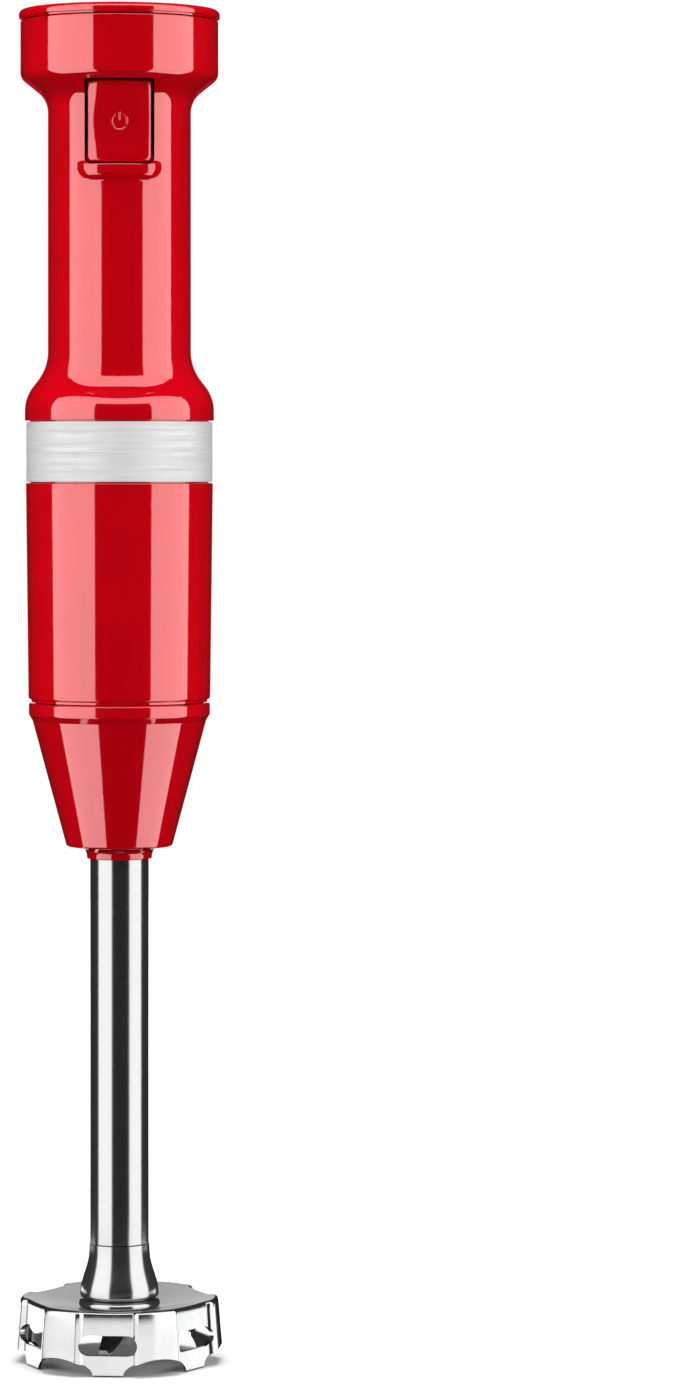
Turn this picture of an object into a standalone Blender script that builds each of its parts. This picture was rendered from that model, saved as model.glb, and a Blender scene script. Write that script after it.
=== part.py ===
"""Immersion blender, as an assembly of separate parts. Metres, +Z up.

The feet of the blade guard stand on z = 0 and the drive axis is the Z axis. The front, with
the power button, faces -Y. Sizes below are in millimetres and become metres in the helpers.
"""

import math

import bmesh
import bpy
from mathutils import Matrix, Vector

MM = 0.001
GAP = 0.3

# Resolution of turned pieces
BODY_STEPS = 28
GUARD_STEPS = 42
SMALL_STEPS = 18
SHAFT_STEPS = 12

# Handle
DIAL_RADIUS = 30.95
DIAL_BOTTOM = 412.9
DIAL_TOP = 415.6
HEAD_RADIUS = 30.65
HEAD_TOP = 412.2
HEAD_BOTTOM = 394.6
COVE_BOTTOM = 387.8
GRIP_RADIUS = 22.0
GRIP_DEPTH = 23.7
WALL = 2.2
INNER_COVE = (395.7, 388.9)
DECK_TOP = 411.9
DECK_BOTTOM = 409.7
DECK_BORE = 6.4
BAND_RADIUS = 28.65
BAND_BOTTOM = 270.4
BAND_TOP = 288.9
SHELL_BOTTOM = 289.2
SKIRT_RADIUS = 29.1
SPIGOT_RADIUS = 27.45
SPIGOT_TOP = 292.3
HOUSING_TOP_RADIUS = 28.8
HOUSING_RADIUS = 28.0
HOUSING_TOP = 270.1
HOUSING_BOTTOM = 203.5

# The flare under the grip, at its sides and at its front and rear: the height and fillet of its
# two outer bends, then the heights of its two inner bends
SIDE_FLARE = (305.6, 14.6, 296.4, 12.3, 294.8, 304.7)
FRONT_FLARE = (300.7, 13.1, 295.0, 7.2, 293.0, 301.5)

# Power button and the ledge under it
BUTTON_WIDTH = 19.2
BUTTON_FACE = -25.0
BUTTON_BOTTOM = 368.6
BUTTON_TOP = 392.1
BUTTON_ROOT = -15.0
FLANGE_SIDE = 11.2
FLANGE_BOTTOM = 366.2
FLANGE_TOP = 393.5
PRESSER_DEPTH = -12.3
SWITCH_HEIGHT = 370.0
WINDOW_WIDTH = 21.2
WINDOW_BOTTOM = 367.0
WINDOW_TOP = 392.8
LEDGE_HALF = 10.4
LEDGE_FACE = -25.0
LEDGE_BOTTOM = 364.1
LEDGE_TOP = 366.5

# Screws through the rear half, as (x, z), and their bosses
SHELL_SCREWS = [(-19.0, 402.0), (19.0, 402.0), (0.0, 347.0), (0.0, 300.0)]
BOSS_RADIUS = 4.2
LOW_BOSS = 310.0
SCREW_SEAT = 12.5
SCREW_LENGTH = 22.0
SCREW_RADIUS = 1.4
SCREW_HEAD_RADIUS = 2.6
SCREW_HEAD_TOP = 2.0
SCREW_HOLE = 1.8
SCREW_RECESS = 3.0

# Cord gland at the back of the head
GLAND_HEIGHT = 402.5
GLAND_RADIUS = 5.6
GLAND_FLANGE = 6.9
GLAND_FACE = 31.3
GLAND_SHOULDER = 26.3
GLAND_INNER = 24.2
CORD_BORE = 3.6

# Speed dial and its potentiometer
STEM_RADIUS = 6.0
STEM_BOTTOM = 408.4
KNOB_DEPTH = 413.9
DIMPLE_RADIUS = 6.5
DIMPLE_Y = -20.0
DIMPLE_FLOOR = 415.0
POT_BUSH = 5.0
POT_RADIUS = 8.5
POT_TOP = 408.0
POT_STEP = 400.0
POT_BOTTOM = 392.0

# Electronics
BOARD_SIDE = 15.0
BOARD_FRONT = 3.0
BOARD_REAR = 4.6
BOARD_BOTTOM = 305.0
BOARD_TOP = 342.0
SINK_BOTTOM = 307.0
SINK_TOP = 334.0
SINK_SIDE = 14.0
LEAD_RADIUS = 0.9

# Motor
SHAFT_RADIUS = 2.5
STATOR_RADIUS = 24.6
STATOR_BOTTOM = 231.0
STATOR_TOP = 255.0
ARMATURE_RADIUS = 13.2
BRACKET_RADIUS = 25.2
BEARING_RADIUS = 8.0
BOLT_X = 16.0
BOLT_Y = 14.6
BOLT_HOLE = 1.8
COIL_WIRE_RADIUS = 2.2
COIL_WINDOW_INNER = 7.0
COIL_WINDOW_OUTER = 19.6
COIL_WINDOW_HALF = 8.0
BRUSH_HEIGHT = 264.0
HOLDER_INNER = 9.5
HOLDER_OUTER = 19.0
CARBON_INNER = 6.9
CARBON_OUTER = 15.0
UPPER_BRACKET_TOP = 277.4
LOWER_BRACKET_BOTTOM = 207.4
BEARING_CUP = 10.5
SHAFT_CLEARANCE = 5.0
ARMATURE_SLOTS = 10
SLOT_FLOOR = 9.0
TOOTH_HALF_ANGLE = 14.0
WINDING_RADIUS = 12.0
COMMUTATOR_RADIUS = 6.5
FAN_RADIUS = 19.5
FAN_BLADES = 8

# Arm
COLLAR_RADIUS = 27.9
COLLAR_TOP = 202.6
TUBE_RADIUS = 9.0
TUBE_BORE = 8.0
TUBE_TOP = 178.5
COLLAR_BOTTOM = 154.5
CONE_RADIUS = 16.3
CONE_FOOT = 158.4
SOCKET_TOP = 202.3
NECK_TOP = 36.05
LUG_COUNT = 3
LUG_ANGLE = 30.0
UNLOCK_ANGLE = 30.0

# Drive
DRIVE_RADIUS = 3.0
DRIVE_BORE = DRIVE_RADIUS + GAP
DRIVE_TOP = 190.4
DOG_RADIUS = 9.2
DOG_INNER = 4.2
DOG_OUTER = 9.0

# Blade guard
SIDES = 6
FRONT_WINDOW = 263.0
RIM_RADIUS = 30.4
FOOT_RADIUS = 32.0
RIM_HEIGHT = 19.7
DISH_FOOT = 16.6
PANEL_TOP = 27.9
PANEL_BOTTOM = 29.3
PANEL_WIDTH = 15.1
STEP_SLOPE = 1.3
SLOT_LENGTH = 17.9
SLOT_HEIGHT = 6.1
SLOT_MIDDLE = 9.15
ARCH_HALF_WIDTH = 10.45
ARCH_HEIGHT = 5.2
ARCH_STEPS = 20
HUB_BORE = 6.0
HUB_RADIUS = 8.8
BELL_FLOOR = 14.0
SHEET = 1.5
POCKET_HALF = 5.5

# Blade
BLADE_RADIUS = 21.0
BLADE_THICKNESS = 1.2
BLADE_MIDDLE = 9.9
WING_BEND = 14.0
WING_TURN = -14.0
WING_ROOT = 5.0
WING_HALF = 3.6
HUB_PLATE_RADIUS = 6.6

RED = ((0.62, 0.0, 0.006), 0.16, 0.0)
STEEL = ((0.72, 0.72, 0.73), 0.14, 1.0)
BRUSHED = ((0.66, 0.66, 0.66), 0.36, 1.0)
BLACK = ((0.025, 0.025, 0.027), 0.45, 0.0)
COPPER = ((0.66, 0.29, 0.14), 0.35, 1.0)
IRON = ((0.30, 0.30, 0.31), 0.5, 1.0)
RUBBER = ((0.02, 0.02, 0.02), 0.8, 0.0)
BRASS = ((0.73, 0.53, 0.22), 0.3, 1.0)
CARBON = ((0.05, 0.05, 0.05), 0.7, 0.0)
BOARD = ((0.05, 0.22, 0.08), 0.5, 0.0)
YELLOW = ((0.70, 0.50, 0.06), 0.45, 0.0)


def clear_scene():
    for item in list(bpy.data.objects):
        bpy.data.objects.remove(item)


def make_collection(name):
    group = bpy.data.collections.new(name)
    bpy.context.scene.collection.children.link(group)
    return group


def make_material(name, look):
    """A Principled material; look is (colour, roughness, metallic)."""
    colour, roughness, metallic = look
    made = bpy.data.materials.new(name)
    made.use_nodes = True
    shader = made.node_tree.nodes["Principled BSDF"]
    shader.inputs["Base Color"].default_value = (*colour, 1.0)
    shader.inputs["Roughness"].default_value = roughness
    shader.inputs["Metallic"].default_value = metallic
    made.diffuse_color = (*colour, 1.0)
    return made


# ---------------------------------------------------------------- helpers


def place(name, mesh, look=None):
    """An object for a mesh: a part if it has a look, otherwise a cutter."""
    piece = bpy.data.objects.new(name, mesh)
    if look is None:
        CUTTERS.objects.link(piece)
        piece.hide_render = True
        piece.display_type = "WIRE"
    else:
        PARTS.objects.link(piece)
        mesh.materials.append(make_material(name, look))
        mesh.shade_smooth()
        mesh.set_sharp_from_angle(angle=math.radians(32))
    return piece


def ride(body, *pieces):
    """Parent pieces to the empty of a moving body, which lies on its joint's axis."""
    if body not in EMPTIES:
        EMPTIES[body] = bpy.data.objects.new(body, None)
        PARTS.objects.link(EMPTIES[body])
    for piece in pieces:
        piece.parent = EMPTIES[body]


def boolean(piece, tool, operation="DIFFERENCE"):
    step = piece.modifiers.new(tool.name, "BOOLEAN")
    step.operation = operation
    step.solver = "EXACT"
    step.object = tool


def arc(centre, radius, start, end, steps):
    """Points on an arc about centre, from one angle in degrees to another."""
    points = []
    for i in range(steps + 1):
        angle = math.radians(start + (end - start) * i / steps)
        points.append((centre[0] + radius * math.cos(angle), centre[1] + radius * math.sin(angle)))
    return points


def rounded(corners):
    """An outline through (x, y) or (x, y, fillet radius) corners, with arcs at the fillets."""
    points = [corners[0][:2]]
    for before, here, after in zip(corners, corners[1:], corners[2:]):
        if len(here) < 3:
            points.append(here)
            continue
        corner = Vector(here[:2])
        back = (Vector(before[:2]) - corner).normalized()
        ahead = (Vector(after[:2]) - corner).normalized()
        half = back.angle(ahead) / 2
        centre = corner + (back + ahead).normalized() * here[2] / math.sin(half)
        first = corner + back * here[2] / math.tan(half) - centre
        last = corner + ahead * here[2] / math.tan(half) - centre
        start = math.degrees(math.atan2(first.y, first.x))
        end = math.degrees(math.atan2(last.y, last.x))
        end = start + (end - start + 180) % 360 - 180
        points += arc(centre, here[2], start, end, 1 if here[2] < 1 else 2 if here[2] < 5 else 3)
    points.append(corners[-1][:2])
    return points


def turned(name, outline, look=None, steps=BODY_STEPS):
    """Sweep an outline of (radius, height), running down its outer side, about the Z axis."""
    mesh = bpy.data.meshes.new(name)
    last = len(outline) - 1
    edges = [(i, i + 1) for i in range(last)]
    if min(radius for radius, _ in outline) > 0:
        edges.append((last, 0))
    mesh.from_pydata([(r * MM, 0, z * MM) for r, z in outline], edges, [])
    piece = place(name, mesh, look)
    screw = piece.modifiers.new("turn", "SCREW")
    screw.steps = steps
    screw.render_steps = steps
    screw.use_merge_vertices = True
    screw.merge_threshold = 0.00001
    return piece


def tube(name, outer, inner, bottom, top, look=None, steps=SMALL_STEPS):
    return turned(name, [(outer, top), (outer, bottom), (inner, bottom), (inner, top)], look, steps)


def disc(name, radius, bottom, top, look=None, steps=SMALL_STEPS):
    return turned(name, [(0, top), (radius, top), (radius, bottom), (0, bottom)], look, steps)


def box(name, low, high, look=None):
    """A box between two corners."""
    mesh = bpy.data.meshes.new(name)
    work = bmesh.new()
    bmesh.ops.create_cube(work, size=1.0)
    size = [(b - a) * MM for a, b in zip(low, high)]
    bmesh.ops.scale(work, vec=size, verts=work.verts)
    work.to_mesh(mesh)
    work.free()
    piece = place(name, mesh, look)
    piece.location = [(a + b) / 2 * MM for a, b in zip(low, high)]
    return piece


def rod(name, radius, start, end, look=None, steps=SHAFT_STEPS):
    """A cylinder from one point to another."""
    mesh = bpy.data.meshes.new(name)
    span = Vector(end) - Vector(start)
    work = bmesh.new()
    bmesh.ops.create_cone(
        work, cap_ends=True, segments=steps, radius1=radius * MM, radius2=radius * MM,
        depth=span.length * MM,
    )
    work.to_mesh(mesh)
    work.free()
    piece = place(name, mesh, look)
    piece.rotation_euler = span.to_track_quat("Z", "Y").to_euler()
    piece.location = (Vector(start) + Vector(end)) / 2 * MM
    return piece


def curve_mesh(curve):
    """The mesh of a curve, with its caps welded on."""
    holder = bpy.data.objects.new("holder", curve)
    bpy.context.scene.collection.objects.link(holder)
    graph = bpy.context.evaluated_depsgraph_get()
    mesh = bpy.data.meshes.new_from_object(holder.evaluated_get(graph))
    bpy.data.objects.remove(holder)
    work = bmesh.new()
    work.from_mesh(mesh)
    bmesh.ops.remove_doubles(work, verts=work.verts, dist=0.000001)
    bmesh.ops.recalc_face_normals(work, faces=work.faces)
    work.to_mesh(mesh)
    work.free()
    return mesh


def new_curve(dimensions):
    curve = bpy.data.curves.new("curve", "CURVE")
    curve.dimensions = dimensions
    curve.render_resolution_u = 0
    return curve


def add_spline(curve, points, cyclic):
    spline = curve.splines.new("POLY")
    spline.points.add(len(points) - 1)
    for point, place_mm in zip(spline.points, points):
        point.co = (*(value * MM for value in place_mm), 1.0)
    spline.use_cyclic_u = cyclic


def plate_mesh(outlines, thickness):
    """A flat plate in the XY plane from outlines, holes included, centred on z = 0."""
    curve = new_curve("2D")
    curve.fill_mode = "BOTH"
    curve.extrude = thickness / 2 * MM
    for outline in outlines:
        add_spline(curve, [(x, y, 0) for x, y in outline], True)
    return curve_mesh(curve)


def plate(name, outlines, bottom, top, look=None):
    mesh = plate_mesh(outlines, top - bottom)
    mesh.name = name
    piece = place(name, mesh, look)
    piece.location.z = (bottom + top) / 2 * MM
    return piece


def wire(name, points, radius, look, cyclic=False):
    curve = new_curve("3D")
    curve.bevel_depth = radius * MM
    curve.bevel_resolution = 2
    curve.use_fill_caps = True
    add_spline(curve, points, cyclic)
    mesh = curve_mesh(curve)
    mesh.name = name
    return place(name, mesh, look)


def sector(inner, outer, middle, width, steps=4):
    """The outline of a ring's sector; angles in degrees."""
    start, end = middle - width / 2, middle + width / 2
    return arc((0, 0), outer, start, end, steps) + arc((0, 0), inner, end, start, steps)


def ring_of(name, mesh, count, first):
    """One cutter mesh with copies of a mesh turned evenly about the Z axis."""
    work = bmesh.new()
    for i in range(count):
        start = len(work.verts)
        work.from_mesh(mesh)
        work.verts.ensure_lookup_table()
        turn = Matrix.Rotation(math.radians(first + 360 * i / count), 3, "Z")
        bmesh.ops.rotate(work, cent=(0, 0, 0), matrix=turn, verts=work.verts[start:])
    joined = bpy.data.meshes.new(name)
    work.to_mesh(joined)
    work.free()
    return place(name, joined)


def moved(mesh, matrix):
    mesh.transform(matrix)
    return mesh


def soften(piece, width, segments=2):
    bevel = piece.modifiers.new("edges", "BEVEL")
    bevel.width = width * MM
    bevel.segments = segments
    bevel.limit_method = "ANGLE"


# ---------------------------------------------------------------- handle


def shell_outline(grip, flare):
    """Head, grip and flare, then the inside back up, with a step for the housing's spigot."""
    upper_bend, upper_fillet, lower_bend, lower_fillet, inner_low, inner_high = flare
    inner_grip = GRIP_RADIUS - WALL
    inner_head = HEAD_RADIUS - WALL
    return rounded([
        (inner_head, HEAD_TOP),
        (HEAD_RADIUS, HEAD_TOP, 0.5),
        (HEAD_RADIUS, HEAD_BOTTOM, 3.5),
        (grip, COVE_BOTTOM, 8.0),
        (grip, upper_bend, upper_fillet),
        (SKIRT_RADIUS, lower_bend, lower_fillet),
        (SKIRT_RADIUS, SHELL_BOTTOM),
        (SPIGOT_RADIUS + GAP, SHELL_BOTTOM),
        (SPIGOT_RADIUS + GAP, SPIGOT_TOP + GAP),
        (SKIRT_RADIUS - WALL, SPIGOT_TOP + GAP),
        (SKIRT_RADIUS - WALL, inner_low),
        (inner_grip, inner_high),
        (inner_grip, INNER_COVE[1]),
        (inner_head, INNER_COVE[0]),
    ])


def shell_mesh(name):
    """The whole handle: its outline changes with the angle, as the grip is deeper than wide."""
    wide = shell_outline(GRIP_RADIUS, SIDE_FLARE)
    deep = shell_outline(GRIP_DEPTH, FRONT_FLARE)
    work = bmesh.new()
    columns = []
    for i in range(BODY_STEPS):
        angle = math.tau * (i + 0.5) / BODY_STEPS
        share = math.sin(angle) ** 2
        column = []
        for (wide_radius, wide_height), (deep_radius, deep_height) in zip(wide, deep):
            radius = wide_radius + (deep_radius - wide_radius) * share
            height = wide_height + (deep_height - wide_height) * share
            where = (radius * math.cos(angle), radius * math.sin(angle), height)
            column.append(work.verts.new([value * MM for value in where]))
        columns.append(column)
    for here, after in zip(columns, columns[1:] + columns[:1]):
        for j in range(len(here)):
            k = (j + 1) % len(here)
            work.faces.new((here[j], here[k], after[k], after[j]))
    bmesh.ops.recalc_face_normals(work, faces=work.faces)
    mesh = bpy.data.meshes.new(name)
    work.to_mesh(mesh)
    work.free()
    return mesh


def half_shell(name, side):
    """One half of the handle; side is -1 for the front and 1 for the rear."""
    piece = place(name, shell_mesh(name), RED)
    near, far = sorted((-side * 60, side * GAP / 2))
    boolean(piece, box(name + "_parting", (-60, near, 250), (60, far, 450)))
    for i, (x, z) in enumerate(SHELL_SCREWS):
        reach = boss_reach(x, z)
        boss = rod(f"{name}_boss_{i}", BOSS_RADIUS, (x, side * 0.4, z), (x, side * reach, z), steps=10)
        boolean(piece, boss, "UNION")
    return piece


def boss_reach(x, z):
    """How far out a boss goes, so that it ends inside the wall of the head, grip or flare."""
    if z < LOW_BOSS:
        return GRIP_RADIUS + 0.5
    outer = HEAD_RADIUS if z > HEAD_BOTTOM else GRIP_RADIUS
    return math.sqrt((outer - WALL / 2) ** 2 - (abs(x) + BOSS_RADIUS) ** 2)


def make_front_shell():
    piece = half_shell("front_shell", -1)
    half = WINDOW_WIDTH / 2
    boolean(piece, box("button_window", (-half, -40, WINDOW_BOTTOM), (half, -12, WINDOW_TOP)))
    ledge = box("ledge", (-LEDGE_HALF, LEDGE_FACE, LEDGE_BOTTOM), (LEDGE_HALF, -18.8, LEDGE_TOP))
    soften(ledge, 0.9)
    boolean(piece, ledge, "UNION")
    for i, (x, z) in enumerate(SHELL_SCREWS):
        boolean(piece, rod(f"front_screw_hole_{i}", SCREW_HOLE, (x, -12, z), (x, 1, z), steps=10))


def make_rear_shell():
    piece = half_shell("rear_shell", 1)
    for i, (x, z) in enumerate(SHELL_SCREWS):
        hole_end = (x, SCREW_SEAT + 1, z)
        boolean(piece, rod(f"rear_screw_hole_{i}", SCREW_HOLE, (x, -1, z), hole_end, steps=10))
        recess_end = (x, 40, z)
        boolean(piece, rod(f"screw_recess_{i}", SCREW_RECESS, (x, SCREW_SEAT, z), recess_end, steps=12))
    ends = (0, 20, GLAND_HEIGHT), (0, 40, GLAND_HEIGHT)
    boolean(piece, rod("gland_hole", GLAND_RADIUS + GAP, *ends, steps=SMALL_STEPS))


def make_shell_screws():
    """Pan-head screws, each turned about its own axis and laid along Y."""
    shape = [
        (0, SCREW_HEAD_TOP), (SCREW_HEAD_RADIUS, SCREW_HEAD_TOP), (SCREW_HEAD_RADIUS, GAP),
        (SCREW_RADIUS, GAP), (SCREW_RADIUS, -SCREW_LENGTH), (0, -SCREW_LENGTH),
    ]
    for i, (x, z) in enumerate(SHELL_SCREWS):
        screw = turned(f"shell_screw_{i + 1}", shape, STEEL, 10)
        screw.rotation_euler.x = -math.pi / 2
        screw.location = (x * MM, SCREW_SEAT * MM, z * MM)


def make_top_deck():
    tube("top_deck", HEAD_RADIUS - WALL - GAP, DECK_BORE, DECK_BOTTOM, DECK_TOP, BLACK, BODY_STEPS)


def make_cord_gland():
    """A flush bushing for the mains cord, lying along Y at the back of the head."""
    shape = [
        (GLAND_RADIUS, GLAND_FACE), (GLAND_RADIUS, GLAND_SHOULDER), (GLAND_FLANGE, GLAND_SHOULDER),
        (GLAND_FLANGE, GLAND_INNER), (CORD_BORE, GLAND_INNER), (CORD_BORE, GLAND_FACE),
    ]
    gland = turned("cord_gland", shape, RUBBER, SHAFT_STEPS)
    gland.rotation_euler.x = -math.pi / 2
    gland.location.z = GLAND_HEIGHT * MM


def make_speed_dial():
    outline = rounded([
        (0, DIAL_TOP), (DIAL_RADIUS, DIAL_TOP, 1.5), (DIAL_RADIUS, DIAL_BOTTOM, 0.4),
        (STEM_RADIUS, DIAL_BOTTOM), (STEM_RADIUS, STEM_BOTTOM), (DRIVE_BORE, STEM_BOTTOM),
        (DRIVE_BORE, KNOB_DEPTH), (0, KNOB_DEPTH),
    ])
    dial = turned("speed_dial", outline, RED)
    low, high = (0, DIMPLE_Y, DIMPLE_FLOOR), (0, DIMPLE_Y, DIAL_TOP + 2)
    boolean(dial, rod("finger_dimple", DIMPLE_RADIUS, low, high, steps=SMALL_STEPS))
    top = KNOB_DEPTH - GAP
    shaft = disc("potentiometer_shaft", DRIVE_RADIUS, POT_BOTTOM + 2 * GAP, top, BRASS, SHAFT_STEPS)
    ride("dial_body", dial, shaft)


def make_controls():
    turned("speed_potentiometer", [
        (POT_BUSH, POT_TOP), (POT_BUSH, POT_STEP), (POT_RADIUS, POT_STEP), (POT_RADIUS, POT_BOTTOM),
        (DRIVE_BORE, POT_BOTTOM), (DRIVE_BORE, POT_TOP),
    ], IRON, SHAFT_STEPS)
    bracket = box("switch_bracket", (-15.5, -1.2, 357), (15.5, 0.8, 390), BLACK)
    boolean(bracket, box("shelf", (-9, -9, 388), (9, 9, 391.6)), "UNION")
    boolean(bracket, box("spring_pad", (-5, -7.9, 379), (5, -1, 387.5)), "UNION")
    boolean(bracket, rod("shaft_clearance", 4.0, (0, 0, 370), (0, 0, 400)))
    switch = box("power_switch", (-8, -7.5, SWITCH_HEIGHT - 8), (8, -1.5, SWITCH_HEIGHT + 6), BLACK)
    low, high = (-2.2, -9, SWITCH_HEIGHT - 2.2), (2.2, -3.5, SWITCH_HEIGHT + 2.2)
    boolean(switch, box("plunger_well", low, high))
    low, high = (-1.8, -11.5, SWITCH_HEIGHT - 1.8), (1.8, -6.9, SWITCH_HEIGHT + 1.8)
    plunger = box("switch_plunger", low, high, RED)
    ride("plunger_body", plunger)


def make_power_button():
    half = BUTTON_WIDTH / 2
    low, high = (-half, BUTTON_FACE, BUTTON_BOTTOM), (half, BUTTON_ROOT, BUTTON_TOP)
    button = box("power_button", low, high, RED)
    soften(button, 1.4)
    low, high = (-FLANGE_SIDE, -15.9, FLANGE_BOTTOM), (FLANGE_SIDE, -14.7, FLANGE_TOP)
    boolean(button, box("flange", low, high), "UNION")
    low, high = (-2.5, BUTTON_ROOT, SWITCH_HEIGHT - 2), (2.5, PRESSER_DEPTH, SWITCH_HEIGHT + 2)
    boolean(button, box("presser", low, high), "UNION")
    ride("button_body", button)


def make_button_spring():
    """A compression spring along Y between the button's flange and the bracket's pad."""
    turns, per_turn, radius, start, end = 3, 8, 3.2, -14.0, -8.5
    points = []
    for i in range(turns * per_turn + 1):
        angle = math.tau * i / per_turn
        along = start + (end - start) * i / (turns * per_turn)
        points.append((radius * math.cos(angle), along, 383.2 + radius * math.sin(angle)))
    wire("button_spring", points, 0.32, STEEL)


def make_electronics():
    low, high = (-BOARD_SIDE, BOARD_FRONT, BOARD_BOTTOM), (BOARD_SIDE, BOARD_REAR, BOARD_TOP)
    box("circuit_board", low, high, BOARD)
    back = BOARD_REAR + GAP
    capacitor = box("suppression_capacitor", (-13, back, 319), (4, 13.5, 332), YELLOW)
    soften(capacitor, 1.0)
    sink = box("triac_heatsink", (5, back, SINK_BOTTOM), (SINK_SIDE, back + 1.5, SINK_TOP), STEEL)
    low, high = (SINK_SIDE - 1.6, back, SINK_BOTTOM), (SINK_SIDE, 12.0, SINK_TOP)
    boolean(sink, box("heatsink_fin", low, high), "UNION")
    for side, name in ((-1, "motor_lead_left"), (1, "motor_lead_right")):
        route = [(9, 1.7, 310), (9.2, 1.0, 304), (11, 0, 297), (14.5, 0, 290), (17, 0, 282),
                 (17.5, 0, 272.4)]
        wire(name, [(side * x, y, z) for x, y, z in route], LEAD_RADIUS, RUBBER)


def make_trim_band():
    tube("trim_band", BAND_RADIUS, SPIGOT_RADIUS + GAP, BAND_BOTTOM, BAND_TOP, BRUSHED, BODY_STEPS)


def make_motor_housing():
    """The tapered housing, with the spigot that carries the band and the handle."""
    turned("motor_housing", rounded([
        (SPIGOT_RADIUS, SPIGOT_TOP), (SPIGOT_RADIUS, HOUSING_TOP), (HOUSING_TOP_RADIUS, HOUSING_TOP, 0.4),
        (HOUSING_RADIUS, HOUSING_BOTTOM, 0.9), (26.0, HOUSING_BOTTOM), (26.8, 268.0),
        (26.8, 272.5), (25.5, 272.5), (25.5, SPIGOT_TOP),
    ]), RED)


# ---------------------------------------------------------------- motor


def make_stator():
    """Lamination stack with a bore, two coil windows and two bolt holes."""
    stator = disc("stator_core", STATOR_RADIUS, STATOR_BOTTOM, STATOR_TOP, IRON)
    boolean(stator, disc("stator_bore", ARMATURE_RADIUS + 0.6, 220, 270, steps=SMALL_STEPS + 2))
    for side, name in ((-1, "left"), (1, "right")):
        low, high = sorted((side * COIL_WINDOW_INNER, side * COIL_WINDOW_OUTER))
        ends = (low, -COIL_WINDOW_HALF, 220), (high, COIL_WINDOW_HALF, 270)
        boolean(stator, box(f"coil_window_{name}", *ends))
        x, y = side * BOLT_X, side * BOLT_Y
        hole = rod(f"stator_bolt_hole_{name}", BOLT_HOLE, (x, y, 220), (x, y, 270), steps=10)
        boolean(stator, hole)


def make_field_coils():
    """Two coils whose legs pass through the stator's windows and whose ends clear the armature."""
    for side, name in ((-1, "field_coil_front"), (1, "field_coil_rear")):
        loop = [(17, 5, 256), (15.5, 8, 258.6), (10, 16, 259)]
        loop += [(-x, y, z) for x, y, z in reversed(loop)]
        loop += [(x, y, STATOR_BOTTOM + STATOR_TOP - z) for x, y, z in reversed(loop)]
        wire(name, [(x, side * y, z) for x, y, z in loop], COIL_WIRE_RADIUS, COPPER, cyclic=True)


def make_brackets():
    upper = turned("upper_bracket", [
        (BEARING_CUP, UPPER_BRACKET_TOP), (BEARING_CUP, 271.4), (BRACKET_RADIUS, 271.4),
        (BRACKET_RADIUS, 269.0), (SHAFT_CLEARANCE, 269.0), (SHAFT_CLEARANCE, 271.7),
        (BEARING_RADIUS + GAP, 271.7), (BEARING_RADIUS + GAP, UPPER_BRACKET_TOP),
    ], IRON, SMALL_STEPS)
    lower = turned("lower_bracket", [
        (BRACKET_RADIUS, 216.0), (BRACKET_RADIUS, 213.8), (BEARING_CUP, 213.8),
        (BEARING_CUP, LOWER_BRACKET_BOTTOM), (BEARING_RADIUS + GAP, LOWER_BRACKET_BOTTOM),
        (BEARING_RADIUS + GAP, 213.6), (SHAFT_CLEARANCE, 213.6), (SHAFT_CLEARANCE, 216.0),
    ], IRON, SMALL_STEPS)
    for side, name in ((-1, "left"), (1, "right")):
        x, y = side * BOLT_X, side * BOLT_Y
        for bracket in (upper, lower):
            ends = (x, y, 205), (x, y, 280)
            boolean(bracket, rod(f"{bracket.name}_hole_{name}", BOLT_HOLE, *ends, steps=10))
        bolt = turned(f"motor_bolt_{name}", [
            (0, 274.2), (2.8, 274.2), (2.8, 271.8), (1.5, 271.8), (1.5, 214.2), (0, 214.2),
        ], STEEL, 10)
        bolt.location = (x * MM, y * MM, 0)
    tube("motor_upper_bearing", BEARING_RADIUS, SHAFT_RADIUS + GAP, 272.0, 277.0, STEEL)
    tube("motor_lower_bearing", BEARING_RADIUS, SHAFT_RADIUS + GAP, 208.3, 213.2, STEEL)
    tube("motor_mount", 26.4, BRACKET_RADIUS + GAP, 268.7, 272.2, RUBBER, SMALL_STEPS)


def make_brushes():
    low, high = BRUSH_HEIGHT - 4.0, BRUSH_HEIGHT + 4.0
    for side, name in ((-1, "left"), (1, "right")):
        near, far = sorted((side * HOLDER_INNER, side * HOLDER_OUTER))
        holder = box(f"brush_holder_{name}", (near, -3.3, low), (far, 3.3, high), BRASS)
        boolean(holder, box(f"brush_way_{name}", (near - 2, -2.1, low + 1.2), (far + 2, 2.1, high - 1.2)))
        near, far = sorted((side * CARBON_INNER, side * CARBON_OUTER))
        box(f"carbon_brush_{name}", (near, -1.8, low + 1.5), (far, 1.8, high - 1.5), CARBON)


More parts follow.
